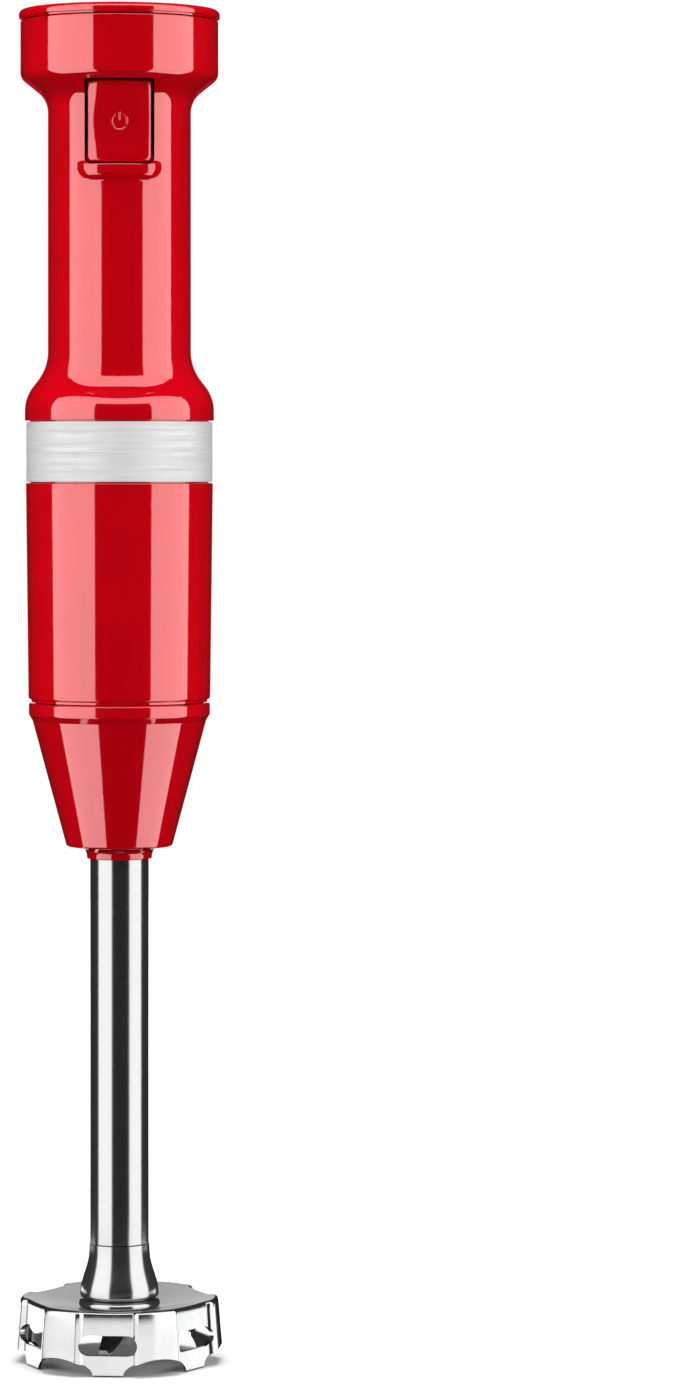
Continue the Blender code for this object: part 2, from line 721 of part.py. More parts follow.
def make_rotor():
    bore = SHAFT_RADIUS + GAP
    shaft = disc("motor_shaft", SHAFT_RADIUS, 197.8, 278.0, STEEL, SHAFT_STEPS)
    teeth = []
    for i in range(ARMATURE_SLOTS):
        middle = 360 * i / ARMATURE_SLOTS
        edge = middle + TOOTH_HALF_ANGLE
        next_edge = middle + 360 / ARMATURE_SLOTS - TOOTH_HALF_ANGLE
        teeth += arc((0, 0), ARMATURE_RADIUS, middle - TOOTH_HALF_ANGLE, edge, 2)
        teeth += arc((0, 0), SLOT_FLOOR, edge, next_edge, 1)
    hole = arc((0, 0), bore, 0, 360 - 360 / SHAFT_STEPS, SHAFT_STEPS - 1)
    core = plate("armature_core", [teeth, hole], STATOR_BOTTOM, STATOR_TOP, IRON)
    windings = []
    for name, low, high in (("winding_lower", 226.4, 230.7), ("winding_upper", 255.3, 259.0)):
        outline = rounded([
            (bore, high), (WINDING_RADIUS, high, 0.9), (WINDING_RADIUS, low, 0.9), (bore, low),
        ])
        windings.append(turned(name, outline, COPPER, SMALL_STEPS))
    commutator = tube("commutator", COMMUTATOR_RADIUS, bore, 259.5, 268.5, COPPER)
    ride("rotor_body", shaft, core, commutator, *windings)
    make_fan(bore)
    make_motor_coupling(bore)


def make_fan(bore):
    fan = tube("cooling_fan", FAN_RADIUS, bore, 217.2, 218.4, BLACK)
    boolean(fan, tube("fan_hub", 5.0, bore, 218.0, 223.5), "UNION")
    tip = FAN_RADIUS - 0.5
    blade = moved(plate_mesh([[(7, -0.5), (tip, -0.5), (tip, 0.5), (7, 0.5)]], 5.5),
                  Matrix.Translation((0, 0, 220.75 * MM)))
    boolean(fan, ring_of("fan_blades", blade, FAN_BLADES, 0), "UNION")
    ride("rotor_body", fan)


def lugs(name, inner, outer, width, first, bottom, top):
    """Evenly spaced lugs about the axis, as one tool."""
    shape = moved(plate_mesh([sector(inner, outer, 0, width)], top - bottom),
                  Matrix.Translation((0, 0, (bottom + top) / 2 * MM)))
    return ring_of(name, shape, LUG_COUNT, first)


def make_motor_coupling(bore):
    """The upper dog: a disc on the motor shaft with lugs that hang down."""
    coupling = tube("motor_coupling", DOG_RADIUS, bore, 197.5, 201.0, IRON)
    boolean(coupling, lugs("motor_dogs", DOG_INNER, DOG_OUTER, 35, 0, 191.4, 198.0), "UNION")
    ride("rotor_body", coupling)


def make_bayonet_spigot():
    """The black nose of the motor, with the lugs that hold the blending arm."""
    spigot = turned("bayonet_spigot", [
        (25.6, 207.0), (25.6, 204.0), (17.5, 204.0), (17.5, 190.0), (13.5, 190.0), (13.5, 207.0),
    ], BLACK)
    boolean(spigot, lugs("bayonet_lugs", 16.5, 19.5, LUG_ANGLE, 90, 193.5, 197.0), "UNION")


# ---------------------------------------------------------------- blending arm


def make_arm_collar():
    collar = turned("arm_collar", rounded([
        (25.6, COLLAR_TOP), (COLLAR_RADIUS, COLLAR_TOP, 0.7), (COLLAR_RADIUS, 198.9, 0.8),
        (26.75, 197.0), (CONE_RADIUS, CONE_FOOT, 1.0), (10.2, CONE_FOOT - 0.8, 2.4),
        (10.0, COLLAR_BOTTOM), (TUBE_RADIUS + GAP, COLLAR_BOTTOM), (TUBE_RADIUS + GAP, 160.4),
        (14.6, 160.4), (24.3, 196.5),
        (25.6, 198.5), (25.6, COLLAR_TOP),
    ])[:-1], RED)
    ride("arm_body", collar)


def make_arm_socket():
    """The black core of the collar: it holds the tube and takes the motor's bayonet."""
    socket = turned("arm_socket", [
        (25.3, SOCKET_TOP), (25.3, 198.8), (24.0, 196.7), (14.3, 160.9),
        (TUBE_RADIUS + GAP, 160.9), (TUBE_RADIUS + GAP, TUBE_TOP + 0.5), (14.0, TUBE_TOP + 0.5),
        (14.0, 188.5), (20.0, 188.5), (20.0, 197.4), (17.9, 197.4), (17.9, SOCKET_TOP),
    ], BLACK)
    entry = lugs("bayonet_entries", 16.5, 19.9, LUG_ANGLE + 6, 90 - UNLOCK_ANGLE, 196.5, 204)
    boolean(socket, entry)
    ride("arm_body", socket)


def make_arm_tube():
    shaft_tube = tube("arm_tube", TUBE_RADIUS, TUBE_BORE, NECK_TOP + GAP, TUBE_TOP, STEEL)
    upper = tube("arm_upper_bearing", TUBE_BORE - GAP, DRIVE_BORE, 168.0, 178.0, BRASS)
    lower = tube("arm_lower_bearing", HUB_BORE - GAP, DRIVE_BORE, 20.2, 34.0, BRASS)
    seal = tube("shaft_seal", HUB_BORE - GAP, DRIVE_BORE, 14.3, 19.9, RUBBER)
    ride("arm_body", shaft_tube, upper, lower, seal)


def make_bell_neck():
    neck = turned("bell_neck", rounded([
        (HUB_BORE, NECK_TOP), (9.25, NECK_TOP), (9.3, 31.6, 20.0), (11.9, 23.4, 12.0),
        (12.2, 19.5), (HUB_BORE, 19.5),
    ]), STEEL, SMALL_STEPS)
    ring = turned("neck_ring", rounded([
        (HUB_BORE, 19.2), (12.0, 19.2, 0.9), (12.0, 16.9, 0.9), (HUB_BORE, 16.9),
    ]), STEEL, SMALL_STEPS)
    ride("arm_body", neck, ring)


def panel_cutter():
    """Cuts the flat, tilted window panels, with sloping steps at their sides."""
    half, depth = PANEL_WIDTH / 2, 8.0
    outer = half + STEP_SLOPE * depth
    outline = [(0, -half), (depth, -outer), (depth, outer), (0, half)]
    mesh = plate_mesh([outline], 40)
    tilt = math.atan2(PANEL_BOTTOM - PANEL_TOP, RIM_HEIGHT)
    middle = (PANEL_BOTTOM + PANEL_TOP) / 2
    moved(mesh, Matrix.Rotation(-tilt, 4, "Y"))
    return moved(mesh, Matrix.Translation((middle * MM, 0, RIM_HEIGHT / 2 * MM)))


def slot_cutter():
    """A slot with full round ends, cut radially."""
    radius, reach = SLOT_HEIGHT / 2, (SLOT_LENGTH - SLOT_HEIGHT) / 2
    outline = arc((reach, 0), radius, -90, 90, 6) + arc((-reach, 0), radius, 90, 270, 6)
    mesh = plate_mesh([outline], 14)
    stand_up = Matrix.Rotation(math.radians(90), 4, "Z") @ Matrix.Rotation(math.radians(90), 4, "X")
    moved(mesh, stand_up)
    return moved(mesh, Matrix.Translation((30 * MM, 0, SLOT_MIDDLE * MM)))


def arch_cutter():
    """An elliptical arch under a lobe, cut radially."""
    outline = [
        (ARCH_HALF_WIDTH * math.cos(turn), ARCH_HEIGHT * math.sin(turn))
        for turn in (math.tau * i / ARCH_STEPS for i in range(ARCH_STEPS))
    ]
    mesh = plate_mesh([outline], 16)
    stand_up = Matrix.Rotation(math.radians(90), 4, "Z") @ Matrix.Rotation(math.radians(90), 4, "X")
    moved(mesh, stand_up)
    return moved(mesh, Matrix.Translation((29 * MM, 0, 0)))


def pocket_cutter():
    """The hollow behind a lobe."""
    inner, outer = 20, 29.2
    mesh = plate_mesh([[
        (inner, -POCKET_HALF), (outer, -POCKET_HALF), (outer, POCKET_HALF), (inner, POCKET_HALF),
    ]], 18)
    return moved(mesh, Matrix.Translation((0, 0, 8 * MM)))


def make_blade_guard():
    guard = turned("blade_guard", rounded([
        (HUB_BORE, DISH_FOOT), (12.3, DISH_FOOT), (29.0, RIM_HEIGHT), (RIM_RADIUS, RIM_HEIGHT, 0.8),
        (FOOT_RADIUS, 0), (HUB_BORE, 0),
    ]), STEEL, GUARD_STEPS)
    guard.rotation_euler.z = math.radians(FRONT_WINDOW)
    cavity = turned("bell_cavity", [
        (0, BELL_FLOOR), (HUB_RADIUS, BELL_FLOOR), (HUB_RADIUS, DISH_FOOT - 1.8),
        (12.3, DISH_FOOT - 1.8), (PANEL_TOP - SHEET, 17.4), (27.9, -1), (0, -1),
    ], steps=GUARD_STEPS)
    cavity.rotation_euler.z = math.radians(FRONT_WINDOW + 3)
    lobe = FRONT_WINDOW + 180 / SIDES
    boolean(guard, cavity)
    boolean(guard, ring_of("lobe_pockets", pocket_cutter(), SIDES, lobe))
    boolean(guard, ring_of("window_panels", panel_cutter(), SIDES, FRONT_WINDOW))
    boolean(guard, ring_of("window_slots", slot_cutter(), SIDES, FRONT_WINDOW))
    boolean(guard, ring_of("foot_arches", arch_cutter(), SIDES, lobe))
    ride("arm_body", guard)


# ---------------------------------------------------------------- drive


def make_drive():
    shaft = disc("drive_shaft", DRIVE_RADIUS, 6.3, DRIVE_TOP, STEEL, SHAFT_STEPS)
    coupling = turned("shaft_coupling", [
        (DOG_RADIUS, 190.9), (DOG_RADIUS, 186.0), (5.5, 186.0), (5.5, 181.0), (DRIVE_BORE, 181.0),
        (DRIVE_BORE, 190.9),
    ], BLACK, SMALL_STEPS)
    boolean(coupling, lugs("shaft_dogs", DOG_INNER, DOG_OUTER, 40, 40, 190.4, 196.9), "UNION")
    hub = tube("blade_hub", 4.6, DRIVE_BORE, 11.0, 13.9, STEEL)
    nut = plate("blade_nut", [arc((0, 0), 5.2, 0, 300, 5)], 5.0, 8.7, STEEL)
    boolean(nut, rod("nut_bore", DRIVE_BORE, (0, 0, 6.0), (0, 0, 12)))
    ride("drive_body", shaft, coupling, hub, nut, make_blade())


def wing(bend):
    """One blade wing: a tapered plate that bends up or down from the flat middle."""
    length = BLADE_RADIUS - WING_ROOT
    outline = [(-0.8, -WING_HALF), (length, -1.2), (length - 0.8, 2.6), (-0.8, WING_HALF)]
    mesh = plate_mesh([outline], BLADE_THICKNESS)
    moved(mesh, Matrix.Rotation(-math.radians(bend), 4, "Y"))
    return moved(mesh, Matrix.Translation((WING_ROOT * MM, 0, BLADE_MIDDLE * MM)))


def make_blade():
    half = BLADE_THICKNESS / 2
    blade = disc("blade", HUB_PLATE_RADIUS, BLADE_MIDDLE - half, BLADE_MIDDLE + half, STEEL)
    boolean(blade, ring_of("raised_wings", wing(WING_BEND), 2, WING_TURN), "UNION")
    boolean(blade, ring_of("lowered_wings", wing(-WING_BEND), 2, WING_TURN + 90), "UNION")
    boolean(blade, rod("blade_bore", DRIVE_BORE, (0, 0, 5), (0, 0, 15)))
    return blade


def build():
    make_front_shell()
    make_rear_shell()
    make_shell_screws()
    make_top_deck()
    make_cord_gland()
    make_speed_dial()
    make_controls()
    make_power_button()
    make_button_spring()
    make_electronics()
    make_trim_band()
    make_motor_housing()
    make_stator()
    make_field_coils()
    make_brackets()
    make_brushes()
    make_rotor()
    make_bayonet_spigot()
    make_arm_collar()
    make_arm_socket()
    make_arm_tube()
    make_bell_neck()
    make_blade_guard()
    make_drive()


clear_scene()
PARTS = make_collection("immersion_blender")
CUTTERS = make_collection("cutters")
EMPTIES = {}
build()
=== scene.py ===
import math

import bmesh
import bpy
import numpy as np
from mathutils import Matrix, Vector


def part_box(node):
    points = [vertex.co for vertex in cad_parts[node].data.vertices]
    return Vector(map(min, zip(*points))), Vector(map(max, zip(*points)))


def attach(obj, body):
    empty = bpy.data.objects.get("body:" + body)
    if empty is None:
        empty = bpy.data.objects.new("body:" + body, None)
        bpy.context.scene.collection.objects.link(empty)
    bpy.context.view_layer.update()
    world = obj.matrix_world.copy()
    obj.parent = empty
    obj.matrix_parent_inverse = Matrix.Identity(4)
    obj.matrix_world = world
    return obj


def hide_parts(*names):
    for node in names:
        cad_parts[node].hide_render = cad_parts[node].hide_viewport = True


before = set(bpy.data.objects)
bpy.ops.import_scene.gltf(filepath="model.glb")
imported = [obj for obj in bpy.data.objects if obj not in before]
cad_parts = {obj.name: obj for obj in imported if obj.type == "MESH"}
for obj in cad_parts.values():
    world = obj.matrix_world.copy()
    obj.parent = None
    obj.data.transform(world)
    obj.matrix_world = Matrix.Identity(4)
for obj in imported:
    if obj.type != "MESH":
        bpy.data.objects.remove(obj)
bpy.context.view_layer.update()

# Lengths are in millimetres until a mesh is made.
MM = 0.001
GAP = 0.3
AROUND = 192
AROUND_STEEL = 128
AROUND_SMALL = 64
ARC_STEP = 3.0
SMALL_ARC_STEP = 12.0
LARGE_FILLET = 2.5
ROW = 2.0
LONG_ROW = 3.0
ON_AXIS = 1e-6


def low(node, axis):
    """The lowest coordinate of a CAD node along an axis, in millimetres."""
    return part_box(node)[0][axis] / MM


def high(node, axis):
    """The highest coordinate of a CAD node along an axis, in millimetres."""
    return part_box(node)[1][axis] / MM


def middle_height(node):
    """The height of a CAD node's middle, in millimetres."""
    return (low(node, 2) + high(node, 2)) / 2


# Driving sizes, all read from the CAD nodes.
HEAD_RADIUS = high("front_shell", 0)
HEAD_TOP = high("front_shell", 2)
SHELL_BOTTOM = low("front_shell", 2)
DIAL_RADIUS = high("speed_dial", 0)
DIAL_TOP = high("speed_dial", 2)
DIAL_FOOT = low("speed_dial", 2)
BAND_RADIUS = high("trim_band", 0)
BAND_TOP = high("trim_band", 2)
BAND_BOTTOM = low("trim_band", 2)
HOUSING_RADIUS = high("motor_housing", 0)
HOUSING_BOTTOM = low("motor_housing", 2)
COLLAR_RADIUS = high("arm_collar", 0)
COLLAR_TOP = high("arm_collar", 2)
COLLAR_BOTTOM = low("arm_collar", 2)
TUBE_RADIUS = high("arm_tube", 0)
TUBE_TOP = high("arm_tube", 2)
NECK_TOP = high("bell_neck", 2)
NECK_RADIUS = high("bell_neck", 0)
NECK_BOTTOM = low("bell_neck", 2)
RING_TOP = high("neck_ring", 2)
RING_BOTTOM = low("neck_ring", 2)
BUTTON_FACE = low("power_button", 1)

# The handle. A flare holds its two outer bends, each a height and a fillet, and its two inner heights.
GRIP_RADIUS = 22.0
GRIP_DEPTH = 23.7
SKIRT_RADIUS = 29.1
WALL = 2.2
COVE_TOP, COVE_TOP_FILLET = 394.6, 3.5
COVE_FOOT, COVE_FOOT_FILLET = 387.8, 8.0
INNER_COVE_TOP, INNER_COVE_FOOT = 395.7, 388.9
SIDE_FLARE = (305.6, 14.6, 296.4, 12.3, 294.8, 304.7)
FRONT_FLARE = (300.7, 13.1, 295.0, 7.2, 293.0, 301.5)
SPIGOT_TOP = 292.6
SPIGOT_INSET = 0.9
HANDLE_ROW = 1.5
LOW_BOSS = 310.0


# ---------- materials


def set_inputs(node, **inputs):
    """Set inputs of a shader node; an underscore in a name stands for a space."""
    for name, value in inputs.items():
        node.inputs[name.replace("_", " ")].default_value = value


def new_node(nodes, kind, **inputs):
    """A new shader node with some of its inputs set."""
    node = nodes.new("ShaderNode" + kind)
    set_inputs(node, **inputs)
    return node


class Look:
    """A Principled material with helpers for its procedural detail."""

    def __init__(self, name, colour, roughness, metallic=0.0, **sockets):
        self.material = bpy.data.materials.new(name)
        self.material.use_nodes = True
        self.nodes = self.material.node_tree.nodes
        self.links = self.material.node_tree.links
        self.shader = self.nodes["Principled BSDF"]
        self.colour = colour
        self.roughness = roughness
        set_inputs(self.shader, Base_Color=(*colour, 1), Roughness=roughness, Metallic=metallic, **sockets)
        self.place = self.nodes.new("ShaderNodeTexCoord").outputs["Object"]

    def math(self, operation, first, second):
        """A maths node on two numbers or signals."""
        node = self.nodes.new("ShaderNodeMath")
        node.operation = operation
        for socket, value in zip(node.inputs, (first, second)):
            if isinstance(value, (int, float)):
                socket.default_value = value
            else:
                self.links.new(value, socket)
        return node.outputs[0]

    def stretched(self, x, y, z):
        """Object coordinates scaled by axis, for grain that runs one way."""
        node = new_node(self.nodes, "Mapping", Scale=(x, y, z))
        self.links.new(self.place, node.inputs["Vector"])
        return node.outputs["Vector"]

    def around(self, along, across):
        """Coordinates wound about the Z axis: (angle, height) with their own scales."""
        parts = self.nodes.new("ShaderNodeSeparateXYZ")
        self.links.new(self.place, parts.inputs[0])
        angle = self.math("ARCTAN2", parts.outputs["Y"], parts.outputs["X"])
        joined = self.nodes.new("ShaderNodeCombineXYZ")
        self.links.new(self.math("MULTIPLY", angle, along), joined.inputs["X"])
        self.links.new(self.math("MULTIPLY", parts.outputs["Z"], across), joined.inputs["Y"])
        return joined.outputs[0]

    def noise(self, scale, detail, where=None, roughness=0.5):
        node = new_node(self.nodes, "TexNoise", Scale=scale, Detail=detail, Roughness=roughness)
        self.links.new(where or self.place, node.inputs["Vector"])
        return node.outputs["Fac"]

    def wave(self, scale, direction="Z", distortion=0.0):
        node = new_node(self.nodes, "TexWave", Scale=scale, Distortion=distortion)
        node.bands_direction = direction
        self.links.new(self.place, node.inputs["Vector"])
        return node.outputs["Fac"]

    def ranged(self, value, start, end):
        """A 0.3 to 0.7 signal mapped to another range."""
        node = new_node(self.nodes, "MapRange", From_Min=0.3, From_Max=0.7, To_Min=start, To_Max=end)
        self.links.new(value, node.inputs["Value"])
        return node.outputs["Result"]

    def vary_colour(self, signal, darker, lighter):
        """Mix between two multiples of the base colour."""
        node = self.nodes.new("ShaderNodeMix")
        node.data_type = "RGBA"
        node.inputs["A"].default_value = (*(min(1, c * darker) for c in self.colour), 1)
        node.inputs["B"].default_value = (*(min(1, c * lighter) for c in self.colour), 1)
        self.links.new(self.ranged(signal, 0, 1), node.inputs["Factor"])
        self.links.new(node.outputs["Result"], self.shader.inputs["Base Color"])

    def vary_roughness(self, signal, less, more):
        result = self.ranged(signal, self.roughness * less, self.roughness * more)
        self.links.new(result, self.shader.inputs["Roughness"])

    def bump(self, signal, depth):
        """Relief of a depth in millimetres."""
        node = new_node(self.nodes, "Bump", Distance=depth * MM)
        self.links.new(signal, node.inputs["Height"])
        self.links.new(node.outputs["Normal"], self.shader.inputs["Normal"])


def red_plastic():
    """Gloss plastic under a clear skin: faint moulding mottle, handling haze and orange peel."""
    look = Look(
        "red_plastic", (0.77, 0.0, 0.008), 0.07, 0.1, Coat_Weight=1.0, Coat_Roughness=0.02, Coat_IOR=1.62
    )
    look.vary_colour(look.noise(55, 2), 0.96, 1.04)
    look.vary_roughness(look.noise(260, 4), 0.8, 1.3)
    look.bump(look.noise(900, 1), 0.0005)
    return look


def polished_steel():
    """Turned and polished steel: very fine lines round the axis."""
    look = Look("polished_steel", (0.39, 0.39, 0.394), 0.15, 0.92)
    lines = look.noise(1.0, 4, look.around(2.5, 5200), 0.6)
    look.vary_colour(lines, 0.93, 1.05)
    look.vary_roughness(lines, 0.8, 1.25)
    look.bump(lines, 0.0012)
    return look


def bell_steel():
    """Pressed and tumbled steel: softer than the tube, with a faint haze."""
    look = Look("bell_steel", (0.46, 0.46, 0.464), 0.15, 0.96)
    look.vary_colour(look.noise(120, 3), 0.96, 1.03)
    look.vary_roughness(look.noise(420, 4), 0.85, 1.2)
    look.bump(look.noise(2600, 2), 0.0008)
    return look


def bell_inside_painted_shade():
    """The inner face of the guard: rougher than the outside, with a darker grey that is painted shade
    inside the guard.
    """
    # The low base grey is painted shade, not the steel's own colour.
    look = Look("bell_inside_painted_shade", (0.15, 0.15, 0.152), 0.42, 0.9)
    look.vary_colour(look.noise(180, 4), 0.85, 1.15)
    look.vary_roughness(look.noise(700, 3), 0.8, 1.2)
    look.bump(look.noise(1800, 3), 0.002)
    return look


def brushed_steel():
    """Fine brushing that runs round the band, over broader soft streaks."""
    look = Look("brushed_steel", (0.8, 0.8, 0.8), 0.8, 0.9)
    lines = look.noise(1.0, 5, look.around(1.6, 4200), 0.65)
    broad = look.noise(1.0, 3, look.around(0.8, 900), 0.6)
    look.vary_colour(lines, 0.9, 1.08)
    look.vary_roughness(broad, 0.85, 1.15)
    look.bump(lines, 0.0025)
    return look


def black_plastic():
    look = Look("black_plastic", (0.022, 0.022, 0.024), 0.42)
    look.vary_colour(look.noise(90, 3), 0.8, 1.25)
    look.vary_roughness(look.noise(700, 3), 0.8, 1.2)
    look.bump(look.noise(2400, 2), 0.012)
    return look


def motor_iron():
    """Punched laminations: stacked lines, a grey scale and some oil."""
    look = Look("motor_iron", (0.28, 0.28, 0.29), 0.45, 1.0)
    look.vary_colour(look.noise(180, 4), 0.7, 1.2)
    look.vary_roughness(look.noise(320, 3), 0.75, 1.3)
    look.bump(look.wave(620), 0.03)
    return look


def copper():
    """Enamelled wire wound in neat layers."""
    look = Look("copper", (0.62, 0.25, 0.11), 0.3, 1.0, Coat_Weight=0.6, Coat_Roughness=0.12)
    strands = look.wave(500, distortion=1.5)
    look.vary_colour(strands, 0.6, 1.1)
    look.vary_roughness(look.noise(300, 3), 0.8, 1.3)
    look.bump(strands, 0.12)
    return look


def plain_steel():
    look = Look("plain_steel", (0.5, 0.5, 0.51), 0.46, 1.0)
    lines = look.noise(1.0, 3, look.stretched(1800, 1800, 300))
    look.vary_colour(lines, 0.85, 1.1)
    look.vary_roughness(look.noise(500, 3), 0.75, 1.3)
    look.bump(lines, 0.003)
    return look


def brass():
    look = Look("brass", (0.70, 0.50, 0.20), 0.28, 1.0)
    look.vary_colour(look.noise(140, 4), 0.82, 1.08)
    look.vary_roughness(look.noise(600, 3), 0.8, 1.3)
    look.bump(look.noise(1.0, 3, look.around(3, 4200)), 0.003)
    return look


def black_rubber():
    look = Look("black_rubber", (0.018, 0.018, 0.018), 0.75)
    look.vary_colour(look.noise(160, 4), 0.75, 1.5)
    look.vary_roughness(look.noise(900, 3), 0.85, 1.15)
    look.bump(look.noise(3200, 3), 0.02)
    return look


def carbon():
    look = Look("carbon", (0.045, 0.045, 0.047), 0.6)
    look.vary_colour(look.noise(2200, 4), 0.6, 1.6)
    look.vary_roughness(look.noise(900, 3), 0.8, 1.15)
    look.bump(look.noise(2800, 4), 0.03)
    return look


def circuit_green():
    """Solder mask over tracks that run up the board."""
    look = Look("circuit_green", (0.03, 0.20, 0.07), 0.35, Coat_Weight=0.5, Coat_Roughness=0.15)
    tracks = look.wave(140, direction="X", distortion=0.6)
    look.vary_colour(tracks, 0.7, 1.35)
    look.vary_roughness(look.noise(500, 3), 0.85, 1.2)
    look.bump(tracks, 0.035)
    return look


def yellow_film():
    look = Look("yellow_film", (0.68, 0.46, 0.05), 0.4)
    look.vary_colour(look.noise(240, 3), 0.9, 1.06)
    look.vary_roughness(look.noise(700, 3), 0.8, 1.25)
    look.bump(look.noise(420, 2), 0.02)
    return look


def heatsink_aluminium():
    look = Look("heatsink_aluminium", (0.72, 0.72, 0.74), 0.34, 1.0)
    lines = look.noise(1.0, 3, look.stretched(2600, 2600, 60))
    look.vary_colour(lines, 0.86, 1.08)
    look.vary_roughness(look.noise(400, 3), 0.8, 1.2)
    look.bump(lines, 0.005)
    return look


MATERIALS = {
    make.__name__: make().material
    for make in (
        red_plastic, polished_steel, bell_steel, bell_inside_painted_shade, brushed_steel, black_plastic, motor_iron,
        copper, plain_steel, brass, black_rubber, carbon, circuit_green, yellow_film, heatsink_aluminium,
    )
}

SLOT_NODES = {
    "black_plastic": (
        "top_deck", "bayonet_spigot", "switch_bracket", "power_switch", "cooling_fan", "arm_socket",
        "shaft_coupling",
    ),
    "motor_iron": (
        "speed_potentiometer", "stator_core", "upper_bracket", "lower_bracket", "armature_core",
        "motor_coupling",
    ),
    "copper": ("field_coil_front", "field_coil_rear", "winding_lower", "winding_upper", "commutator"),
    "plain_steel": (
        "button_spring", "motor_upper_bearing", "motor_lower_bearing", "motor_bolt_left",
        "motor_bolt_right", "motor_shaft", "drive_shaft",
    ),
    "brass": (
        "brush_holder_left", "brush_holder_right", "potentiometer_shaft", "arm_upper_bearing",
        "arm_lower_bearing",
    ),
    "black_rubber": ("motor_lead_left", "motor_lead_right", "motor_mount", "shaft_seal"),
    "carbon": ("carbon_brush_left", "carbon_brush_right"),
    "circuit_green": ("circuit_board",),
    "yellow_film": ("suppression_capacitor",),
    "heatsink_aluminium": ("triac_heatsink",),
    "red_plastic": ("switch_plunger",),
}


def paint_cad_nodes():
    """Give the inner pieces, which stay as the CAD made them, their materials."""
    for material, nodes in SLOT_NODES.items():
        for node in nodes:
            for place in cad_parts[node].material_slots:
                place.material = MATERIALS[material]


# ---------- mesh helpers


def add_object(name, work, material=None):
    """Make an object of the scene from a bmesh, which is freed."""
    mesh = bpy.data.meshes.new(name)
    work.to_mesh(mesh)
    work.free()
    if material:
        mesh.materials.append(material)
    piece = bpy.data.objects.new(name, mesh)
    bpy.context.scene.collection.objects.link(piece)
    return piece


def arc(centre, radius, start, end, steps):
    """Points along an arc between two angles in degrees."""
    points = []
    for i in range(steps + 1):
        angle = math.radians(start + (end - start) * i / steps)
        points.append((centre[0] + radius * math.cos(angle), centre[1] + radius * math.sin(angle)))
    return points


def rounded(corners, steps=None, closed=False):
    """Points through (x, y) or (x, y, fillet radius) corners, with arcs at the fillets."""
    count = len(corners)
    points = []
    for i, here in enumerate(corners):
        inside = closed or 0 < i < count - 1
        if len(here) < 3 or not inside:
            points.append(tuple(here[:2]))
            continue
        corner = Vector(here[:2])
        back = (Vector(corners[i - 1][:2]) - corner).normalized()
        ahead = (Vector(corners[(i + 1) % count][:2]) - corner).normalized()
        half = back.angle(ahead) / 2
        centre = corner + (back + ahead).normalized() * here[2] / math.sin(half)
        first = corner + back * here[2] / math.tan(half) - centre
        last = corner + ahead * here[2] / math.tan(half) - centre
        start = math.degrees(math.atan2(first.y, first.x))
        end = math.degrees(math.atan2(last.y, last.x))
        end = start + (end - start + 180) % 360 - 180
        step = ARC_STEP if here[2] > LARGE_FILLET else SMALL_ARC_STEP
        pieces = steps or max(3, math.ceil(abs(end - start) / step))
        points += arc(centre, here[2], start, end, pieces)
    return points


def with_rows(outline, step=ROW):
    """Split an outline's long straight runs, so that no edge is longer than a step."""
    points = [outline[0]]
    for before, here in zip(outline, outline[1:]):
        count = max(1, math.ceil(math.dist(before, here) / step))
        for i in range(1, count + 1):
            points.append(tuple(a + (b - a) * i / count for a, b in zip(before, here)))
    return points


def skin(name, rings, material=None, closed_ends=False):
    """Quads between rings of equal length; a ring of one point closes to a pole.

    With closed ends the last ring is joined to the first."""
    work = bmesh.new()
    rows = [[work.verts.new([value * MM for value in point]) for point in ring] for ring in rings]
    pairs = list(zip(rows, rows[1:]))
    if closed_ends:
        pairs.append((rows[-1], rows[0]))
    for upper, lower in pairs:
        count = max(len(upper), len(lower))
        for i in range(count):
            j = (i + 1) % count
            before = (upper[i % len(upper)], lower[i % len(lower)])
            after = (lower[j % len(lower)], upper[j % len(upper)])
            work.faces.new(list(dict.fromkeys(before + after)))
    bmesh.ops.recalc_face_normals(work, faces=work.faces)
    return add_object(name, work, MATERIALS[material] if material else None)


def turned(name, outline, material=None, steps=AROUND):
    """Turn an outline of (radius, height) about the Z axis."""
    angles = [math.tau * i / steps for i in range(steps)]
    rings = []
    for radius, height in outline:
        if radius < ON_AXIS:
            rings.append([(0, 0, height)])
        else:
            rings.append([(radius * math.cos(a), radius * math.sin(a), height) for a in angles])
    hollow = min(radius for radius, _ in outline) >= ON_AXIS
    return skin(name, rings, material, closed_ends=hollow)


def block(name, near, far):
    """A box between two corners, for cutting or joining."""
    work = bmesh.new()
    bmesh.ops.create_cube(work, size=1.0)
    bmesh.ops.scale(work, vec=[(b - a) * MM for a, b in zip(near, far)], verts=work.verts)
    bmesh.ops.translate(work, vec=[(a + b) / 2 * MM for a, b in zip(near, far)], verts=work.verts)
    return add_object(name, work)


def rod(name, radius, start, end, steps=48):
    """A cylinder between two points, for cutting or joining."""
    span = Vector(end) - Vector(start)
    work = bmesh.new()
    bmesh.ops.create_cone(
        work, cap_ends=True, segments=steps, radius1=radius * MM, radius2=radius * MM,
        depth=span.length * MM,
    )
    place = Matrix.Translation((Vector(start) + Vector(end)) / 2 * MM)
    work.transform(place @ span.to_track_quat("Z", "Y").to_matrix().to_4x4())
    return add_object(name, work)


def sphere(name, radius, centre):
    """A ball, for cutting."""
    work = bmesh.new()
    bmesh.ops.create_uvsphere(work, u_segments=48, v_segments=48, radius=radius * MM)
    bmesh.ops.translate(work, vec=[value * MM for value in centre], verts=work.verts)
    return add_object(name, work)


def prism(name, outline, length):
    """A flat outline in XY, drawn out along Z about z = 0."""
    work = bmesh.new()
    ends = []
    for z in (-length / 2, length / 2):
        ends.append([work.verts.new((x * MM, y * MM, z * MM)) for x, y in outline])
    work.faces.new(ends[0][::-1])
    work.faces.new(ends[1])
    for i in range(len(outline)):
        j = (i + 1) % len(outline)
        work.faces.new((ends[0][i], ends[0][j], ends[1][j], ends[1][i]))
    bmesh.ops.recalc_face_normals(work, faces=work.faces)
    return add_object(name, work)


